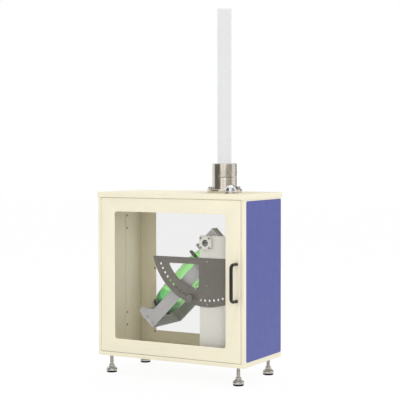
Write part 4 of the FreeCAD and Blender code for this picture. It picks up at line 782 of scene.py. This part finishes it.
class TESTER_OT_supports(bpy.types.Operator):
    """Rounds the columns, the index plate and the bearings"""

    bl_idname = "tester.supports"
    bl_label = "Columns and index plate"

    def execute(self, context):
        sizes = context.scene.tester_sizes
        for node in ("front_column", "rear_column", "quadrant_plate"):
            softened(node, sizes.plate_round)
        softened("bearing_housings", sizes.block_round)
        softened("pivot_bearings", sizes.pane_round)
        return {"FINISHED"}


class TESTER_OT_cradle(bpy.types.Operator):
    """Rounds the cradle's arms, plates and stub shafts"""

    bl_idname = "tester.cradle"
    bl_label = "Cradle"

    def execute(self, context):
        sizes = context.scene.tester_sizes
        for node in ("front_arm", "rear_arm", "end_plate", "neck_plate", "bottle_yoke"):
            softened(node, sizes.plate_round)
        for node in ("stub_shafts", "index_boss"):
            softened(node, sizes.small_round)
        return {"FINISHED"}


class TESTER_OT_clamp(bpy.types.Operator):
    """Rounds the toggle clamp's castings, its plate and its lever"""

    bl_idname = "tester.clamp"
    bl_label = "Toggle clamp"

    def execute(self, context):
        sizes = context.scene.tester_sizes
        softened("clamp_body", sizes.block_round)
        softened("clamp_lever", sizes.lever_round, 3)
        for node in ("clamp_plunger", "lever_pin", "plate_pad"):
            softened(node, sizes.small_round)
        softened("pressure_plate", sizes.small_round, slot="clamp_steel")
        return {"FINISHED"}


class TESTER_OT_screws(bpy.types.Operator):
    """Models the screws with their drives, and rounds the flange screws and the collar's clamp screw"""

    bl_idname = "tester.screws"
    bl_label = "Screws"

    def execute(self, context):
        for node in SCREWS:
            dressed_screws(node)
        for node in ("flange_screws", "collar_clamp_screw"):
            softened(node, context.scene.tester_sizes.screw_round)
        return {"FINISHED"}


class TESTER_OT_bottle(bpy.types.Operator):
    """Models the sample bottle with its petal base, and the ribbed cap"""

    bl_idname = "tester.bottle"
    bl_label = "Bottle and cap"
    valleys_from = 270 * MM
    thick_from = 284 * MM

    def execute(self, context):
        sizes = context.scene.tester_sizes
        bottle = turned(self.skin_profile(sizes.skin / MM), 120)
        self.blow_petals(bottle, sizes)
        smooth(bottle, math.radians(60))
        thick = [face.index for face in bottle.data.polygons if face.center.z > self.thick_from]
        settle(bottle, aimed(ALONG_BOTTLE, PIVOT))
        dress(bottle, "sample_bottle")
        bottle.data.materials.append(finishes["green_bottle_foot"])
        for index in thick:
            bottle.data.polygons[index].material_index = 1
        cap = self.ribbed_cap(sizes)
        settle(cap, aimed(ALONG_BOTTLE, PIVOT))
        dress(cap, "sample_cap")
        return {"FINISHED"}

    @staticmethod
    def outside():
        """The bottle's outside from mouth to foot, in millimetres."""
        neck = [(12.8, 0), (12.8, 21.6), (13.2, 22.0), (16.2, 22.3), (16.5, 22.9), (16.5, 24.2),
                (16.2, 24.7), (13.2, 25.2), (12.9, 27)]
        shoulder = [(13.1, 32), (14.6, 37), (17.6, 43), (21.4, 50), (25.6, 57), (29.8, 64),
                    (33.6, 71), (36.6, 77), (38.6, 82), (39.5, 87), (40.2, 92), (41.6, 98),
                    (43.0, 105), (44.2, 112), (44.9, 120), (45.2, 128)]
        side = [(45.2, 150), (45.2, 176)]
        for i in range(3):
            start = 184 + 16 * i
            side += [(45.2, start), (44.8, start + 1.6), (44.2, start + 3.2),
                     (44.2, start + 5.4), (44.8, start + 7.0), (45.2, start + 8.6)]
        heel = [(45.2, 240), (45.2, 262), (45.0, 276), (44.4, 287), (43.2, 296), (41.4, 304)]
        foot = [(39.0, 311), (37.0, 316), (35.0, 320), (32.2, 323.4), (29.2, 325.4),
                (26, 326), (22.5, 325.2), (18, 322.6), (12, 319.4), (6, 317.4)]
        return neck + shoulder + side + heel + foot

    def skin_profile(self, skin):
        """The outside, the mouth's rim and the inside, an even skin away."""
        outside = self.outside()
        inside = [(12.8 - skin - 0.6, 0.0)]
        for i in range(8, len(outside)):
            (ax, ay), (bx, by) = outside[i - 1], outside[min(i + 1, len(outside) - 1)]
            long = math.hypot(bx - ax, by - ay)
            x, y = outside[i]
            inside.append((max(x - skin * (by - ay) / long, 0.5), y + skin * (bx - ax) / long))
        closed = outside + [(0, 316.6)]
        return [(0, 316.6 - skin)] + inside[::-1] + closed

    def blow_petals(self, bottle, sizes):
        """Pulls valleys in between the feet, out of the round base."""
        for point in bottle.data.vertices:
            along, out = point.co.z, point.co.xy.length
            if along < self.valleys_from or out < 5 * MM:
                continue
            rise = min(1, (along - self.valleys_from) / (34 * MM))
            rim = min(1, (out - 5 * MM) / (13 * MM))
            angle = math.atan2(point.co.y, point.co.x)
            valley = max(0, math.cos(angle * sizes.petals)) ** 2.2
            pull = sizes.petal_depth * valley * rise * rise * rim
            point.co.z -= pull
            shrink = 1 - 0.16 * valley * rise * (1 - 0.5 * rim)
            point.co.x *= shrink
            point.co.y *= shrink

    @staticmethod
    def ribbed_cap(sizes):
        """The cap: ribs up its side, a rounded top and a plain band at its foot."""
        steps = sizes.cap_ribs * 4
        out = 15.0
        profile = [(0, -0.4), (11.6, -0.4), (11.6, 2), (12.85, 2.2), (12.85, 19.5), (out, 19.5),
                   (out, 17.2), (out - 0.5, 17.0), (out - 0.5, 16.4), (out, 16.2), (out, 0.4)]
        profile += arc(out - 2.2, 0.2, 2.2, 0, -90, 6) + [(out - 4, -2.0), (0, -2.0)]
        cap = turned(profile, steps)
        for point in cap.data.vertices:
            along, radius = point.co.z, point.co.xy.length
            if radius < 12.9 * MM or along > 16.3 * MM:
                continue
            angle = math.atan2(point.co.y, point.co.x)
            groove = 0.5 + 0.5 * math.cos(angle * sizes.cap_ribs)
            keep = 1 - sizes.rib_depth * groove / radius
            point.co.x *= keep
            point.co.y *= keep
        smooth(cap, math.radians(40))
        return cap


class TESTER_OT_tube(bpy.types.Operator):
    """Models the drop tube, its collar and the ball's seat"""

    bl_idname = "tester.tube"
    bl_label = "Tube and collar"

    def execute(self, context):
        sizes = context.scene.tester_sizes
        low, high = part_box("drop_tube")
        middle = (low + high) / 2
        outer, long = (high.x - low.x) / 2 / MM, (high.z - low.z) / MM
        inner, edge = outer - 3.0, 0.6
        profile = [(inner + edge, 0), (outer - edge, 0), (outer, edge)]
        profile += [(outer, long - edge)] + arc(outer - edge, long - edge, edge, 0, 90, 4)[1:]
        profile += arc(inner + edge, long - edge, edge, 90, 180, 4)
        profile += [(inner, edge), (inner + edge, 0)]
        tube = turned(profile)
        settle(tube, Matrix.Translation((middle.x, middle.y, low.z)))
        smooth(tube)
        dress(tube, "drop_tube")
        softened("tube_collar", sizes.block_round)
        softened("ball_seat", sizes.ring_round)
        return {"FINISHED"}


class TESTER_OT_ball(bpy.types.Operator):
    """Models the polished steel ball"""

    bl_idname = "tester.ball"
    bl_label = "Steel ball"

    def execute(self, context):
        low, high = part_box("impact_ball")
        bpy.ops.object.select_all(action="DESELECT")
        bpy.ops.mesh.primitive_cube_add(size=high.x - low.x, location=(low + high) / 2)
        ball = bpy.context.object
        apply_modifier(ball, "SUBSURF", levels=5, render_levels=5, subdivision_type="SIMPLE")
        radius = (high.x - low.x) / 2
        apply_modifier(ball, "CAST", cast_type="SPHERE", factor=1.0, size=radius,
                       use_radius_as_size=False)
        settle(ball, ball.matrix_world.copy())
        smooth(ball, math.pi)
        dress(ball, "impact_ball")
        return {"FINISHED"}


class TESTER_OT_index_pin(bpy.types.Operator):
    """Rounds the index pin and its fluted knob"""

    bl_idname = "tester.index_pin"
    bl_label = "Index pin"

    def execute(self, context):
        edge = context.scene.tester_sizes.screw_round
        softened("index_pin", edge)
        softened("index_knob", edge, slot="quadrant_paint")
        return {"FINISHED"}


class TESTER_OT_feet(bpy.types.Operator):
    """Models the levelling feet: pads, domed discs and threaded studs"""

    bl_idname = "tester.feet"
    bl_label = "Feet"

    def execute(self, context):
        sizes = context.scene.tester_sizes
        self.repeated("foot_discs", self.disc)
        self.repeated("foot_pads", self.pad)
        softened("foot_lock_nuts", sizes.ring_round)
        for number in range(1, 5):
            self.stud("foot_stud_" + str(number), sizes)
        return {"FINISHED"}

    @staticmethod
    def repeated(node, form):
        """One copy of a form for each solid of a node."""
        pieces = []
        for low, high in islands(node):
            piece = form((high.x - low.x) / 2 / MM, (high.z - low.z) / MM)
            settle(piece, Matrix.Translation(((low.x + high.x) / 2, (low.y + high.y) / 2, low.z)))
            pieces.append(piece)
        dress(joined_pieces(pieces), node)

    @staticmethod
    def disc(radius, high):
        """A pressed disc: an upright rim, a dome and a neck round the stud's ball."""
        bore = 5.9
        profile = [(0, 7.7), (bore, 7.7), (bore, high - 0.5), (bore + 0.5, high),
                   (10.4, high), (11.1, high - 0.7), (11.3, high * 0.82), (12.2, high * 0.76),
                   (14.2, high * 0.7), (16.2, high * 0.61), (17.6, high * 0.49),
                   (radius - 0.1, high * 0.36), (radius, high * 0.3), (radius, 0.8),
                   (radius - 0.8, 0), (0, 0)]
        piece = turned(profile, 64)
        smooth(piece, math.radians(40))
        return piece

    @staticmethod
    def pad(radius, high):
        """A rubber pad with a tread groove round its side."""
        profile = [(0, 0)] + [(radius - 1.2, 0), (radius - 0.4, 0.3), (radius, 1.1)]
        profile += [(radius, high * 0.5), (radius - 0.7, high * 0.58), (radius, high * 0.66),
                    (radius, high), (0, high)]
        piece = turned(profile, 64)
        smooth(piece, math.radians(40))
        return piece

    @staticmethod
    def stud(node, sizes):
        """A stud with a cut thread and a hexagon to turn it by."""
        low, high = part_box(node)
        middle = (low + high) / 2
        body = merged_copy(node)
        rounded_edges(body, sizes.small_round)
        radius = 5.75 * MM
        hex_top = low.z + 12.4 * MM
        first, last = hex_top + 1.0 * MM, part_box("base_pan")[0].z + 2 * MM
        turns = int((last - first) / sizes.thread_pitch)
        bpy.ops.object.select_all(action="DESELECT")
        bpy.ops.mesh.primitive_plane_add(size=1)
        ridge = bpy.context.object
        half = sizes.thread_pitch * 0.42
        root, crest = radius - sizes.thread_root, radius + sizes.thread_rise
        corners = [(root, 0, -half), (crest, 0, -0.1 * half), (crest, 0, 0.1 * half),
                   (root, 0, half)]
        ridge.data.clear_geometry()
        ridge.data.from_pydata(corners, [(0, 1), (1, 2), (2, 3), (3, 0)], [])
        apply_modifier(ridge, "SCREW", axis="Z", angle=math.tau, steps=28, render_steps=28,
                       screw_offset=sizes.thread_pitch, iterations=turns, use_smooth_shade=True)
        edit(ridge, "EDGE")
        bpy.ops.mesh.select_all(action="DESELECT")
        bpy.ops.mesh.select_non_manifold()
        bpy.ops.mesh.fill()
        leave_edit()
        close_up(ridge)
        settle(ridge, Matrix.Translation((middle.x, middle.y, first + half)))
        smooth(ridge)
        whole = joined_pieces([body, ridge])
        dress(whole, node)


# The cards round the tester, each with its grey, its width and where it stands, in degrees
# from the X axis
CARDS = (
    ("left_card", 0.1, 2.3, -130),
    ("right_card", 0.36, 1.9, -17),
    ("back_card", 0.05, 1.5, 92),
)


class TESTER_OT_stage(bpy.types.Operator):
    """Sets up the floor, the lamps, the world and the camera"""

    bl_idname = "tester.stage"
    bl_label = "Stage"

    def execute(self, context):
        studio = context.scene.tester_studio
        self.world(studio)
        self.floor(studio)
        middle = (CAD_BOX[0] + CAD_BOX[1]) / 2
        self.lamp("key_lamp", studio.key, (2.4, 2.0), (-0.9, -3.5, 1.35), middle)
        self.lamp("front_lamp", studio.front, (2.0, 2.0), (3.3, -2.7, 1.5), middle)
        self.lamp("back_lamp", studio.back, (2.4, 1.6), (-0.4, 3.4, 1.3), middle)
        self.lamp("fill_lamp", studio.fill, (1.6, 2.4), (3.2, -0.6, 1.6), middle)
        self.lamp("overhead_lamp", studio.overhead, (2.0, 2.0), (0.3, 0.4, 3.4), middle)
        for name, grey, wide, azimuth in CARDS:
            self.card(name, grey, wide, math.radians(azimuth), middle)
        self.camera(studio)
        context.scene.view_settings.view_transform = "Standard"
        return {"FINISHED"}

    @staticmethod
    def seen_by_rays(tree):
        """1 for camera, glossy and transmission rays, and 0 for the light on the object."""
        path = tree.nodes.new("ShaderNodeLightPath")
        total = path.outputs["Is Camera Ray"]
        for name in ("Is Glossy Ray", "Is Transmission Ray"):
            either = tree.nodes.new("ShaderNodeMath")
            either.operation = "MAXIMUM"
            tree.links.new(total, either.inputs[0])
            tree.links.new(path.outputs[name], either.inputs[1])
            total = either.outputs[0]
        return total

    def world(self, studio):
        world = bpy.data.worlds.new("Studio")
        bpy.context.scene.world = world
        world.use_nodes = True
        tree = world.node_tree
        level = tree.nodes.new("ShaderNodeMapRange")
        level.inputs["To Min"].default_value = studio.sky
        level.inputs["To Max"].default_value = 1.0
        tree.links.new(self.seen_by_rays(tree), level.inputs["Value"])
        background = tree.nodes["Background"]
        background.inputs["Color"].default_value = (1, 1, 1, 1)
        tree.links.new(level.outputs["Result"], background.inputs["Strength"])

    def floor(self, studio):
        bpy.ops.object.select_all(action="DESELECT")
        bpy.ops.mesh.primitive_plane_add(size=24)
        floor = bpy.context.object
        floor.name = "studio_floor"
        material = bpy.data.materials.new("Studio floor")
        material.use_nodes = True
        tree = material.node_tree
        shader = tree.nodes["Principled BSDF"]
        shader.inputs["Base Color"].default_value = tuple(studio.floor) + (1,)
        shader.inputs["Roughness"].default_value = 0.9
        shader.inputs["Specular IOR Level"].default_value = 0.1
        white = tree.nodes.new("ShaderNodeEmission")
        glow = tree.nodes.new("ShaderNodeMath")
        glow.operation = "MULTIPLY"
        glow.inputs[1].default_value = studio.floor_glow
        tree.links.new(self.seen_by_rays(tree), glow.inputs[0])
        mix = tree.nodes.new("ShaderNodeMixShader")
        tree.links.new(glow.outputs[0], mix.inputs["Fac"])
        tree.links.new(shader.outputs["BSDF"], mix.inputs[1])
        tree.links.new(white.outputs["Emission"], mix.inputs[2])
        tree.links.new(mix.outputs["Shader"], tree.nodes["Material Output"].inputs["Surface"])
        floor.data.materials.append(material)

    @staticmethod
    def lamp(name, power, size, place, aim):
        data = bpy.data.lights.new(name, "AREA")
        data.shape = "RECTANGLE"
        data.size, data.size_y = size
        data.energy = power
        lamp = bpy.data.objects.new(name, data)
        bpy.context.scene.collection.objects.link(lamp)
        lamp.location = place
        lamp.visible_transmission = False
        lamp.rotation_euler = (aim - Vector(place)).to_track_quat("-Z", "Y").to_euler()

    @staticmethod
    def card(name, grey, wide, azimuth, middle):
        """A grey card that only reflections see, for the darker bands in bright metal."""
        bpy.ops.object.select_all(action="DESELECT")
        bpy.ops.mesh.primitive_plane_add(size=1)
        card = bpy.context.object
        card.name = name
        card.scale = (wide, 2.6, 1)
        away = Vector((math.cos(azimuth), math.sin(azimuth), 0))
        card.location = Vector((middle.x, middle.y, 1.0)) + 1.6 * away
        card.rotation_euler = (-away).to_track_quat("-Z", "Y").to_euler()
        material = bpy.data.materials.new(name)
        material.use_nodes = True
        shader = material.node_tree.nodes["Principled BSDF"]
        shader.inputs["Base Color"].default_value = (0.01, 0.01, 0.01, 1)
        shader.inputs["Emission Color"].default_value = (1, 1, 1, 1)
        shader.inputs["Emission Strength"].default_value = grey
        card.data.materials.append(material)
        card.visible_camera = False
        card.visible_diffuse = False
        card.visible_shadow = False
        card.visible_transmission = False

    @staticmethod
    def camera(studio):
        data = bpy.data.cameras.new("camera")
        data.lens = studio.lens
        camera = bpy.data.objects.new("camera", data)
        bpy.context.scene.collection.objects.link(camera)
        camera.location = studio.place
        camera.rotation_euler = studio.turn
        bpy.context.scene.camera = camera


class TESTER_PT_pieces(bpy.types.Panel):
    """Lists the tester's pieces in the sidebar"""

    bl_idname = "TESTER_PT_pieces"
    bl_label = "Impact Tester"
    bl_space_type = "VIEW_3D"
    bl_region_type = "UI"
    bl_category = "Tester"

    def draw(self, context):
        column = self.layout.column()
        for operator in OPERATORS:
            column.operator(operator.bl_idname)


GROUPS = {"tester_colours": TesterColours, "tester_sizes": TesterSizes,
          "tester_studio": TesterStudio}
OPERATORS = (
    TESTER_OT_finishes, TESTER_OT_cabinet, TESTER_OT_handle, TESTER_OT_supports,
    TESTER_OT_cradle, TESTER_OT_clamp, TESTER_OT_screws, TESTER_OT_bottle, TESTER_OT_tube,
    TESTER_OT_ball, TESTER_OT_index_pin, TESTER_OT_feet, TESTER_OT_stage,
)


def register():
    for kind in (*GROUPS.values(), *OPERATORS, TESTER_PT_pieces):
        bpy.utils.register_class(kind)
    for name, kind in GROUPS.items():
        setattr(bpy.types.Scene, name, bpy.props.PointerProperty(type=kind))


def unregister():
    for name in GROUPS:
        delattr(bpy.types.Scene, name)
    for kind in reversed((*GROUPS.values(), *OPERATORS, TESTER_PT_pieces)):
        bpy.utils.unregister_class(kind)


def main():
    """Registers the add-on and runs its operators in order."""
    register()
    for operator in OPERATORS:
        group, name = operator.bl_idname.split(".")
        getattr(getattr(bpy.ops, group), name)()


if __name__ == "__main__":
    main()
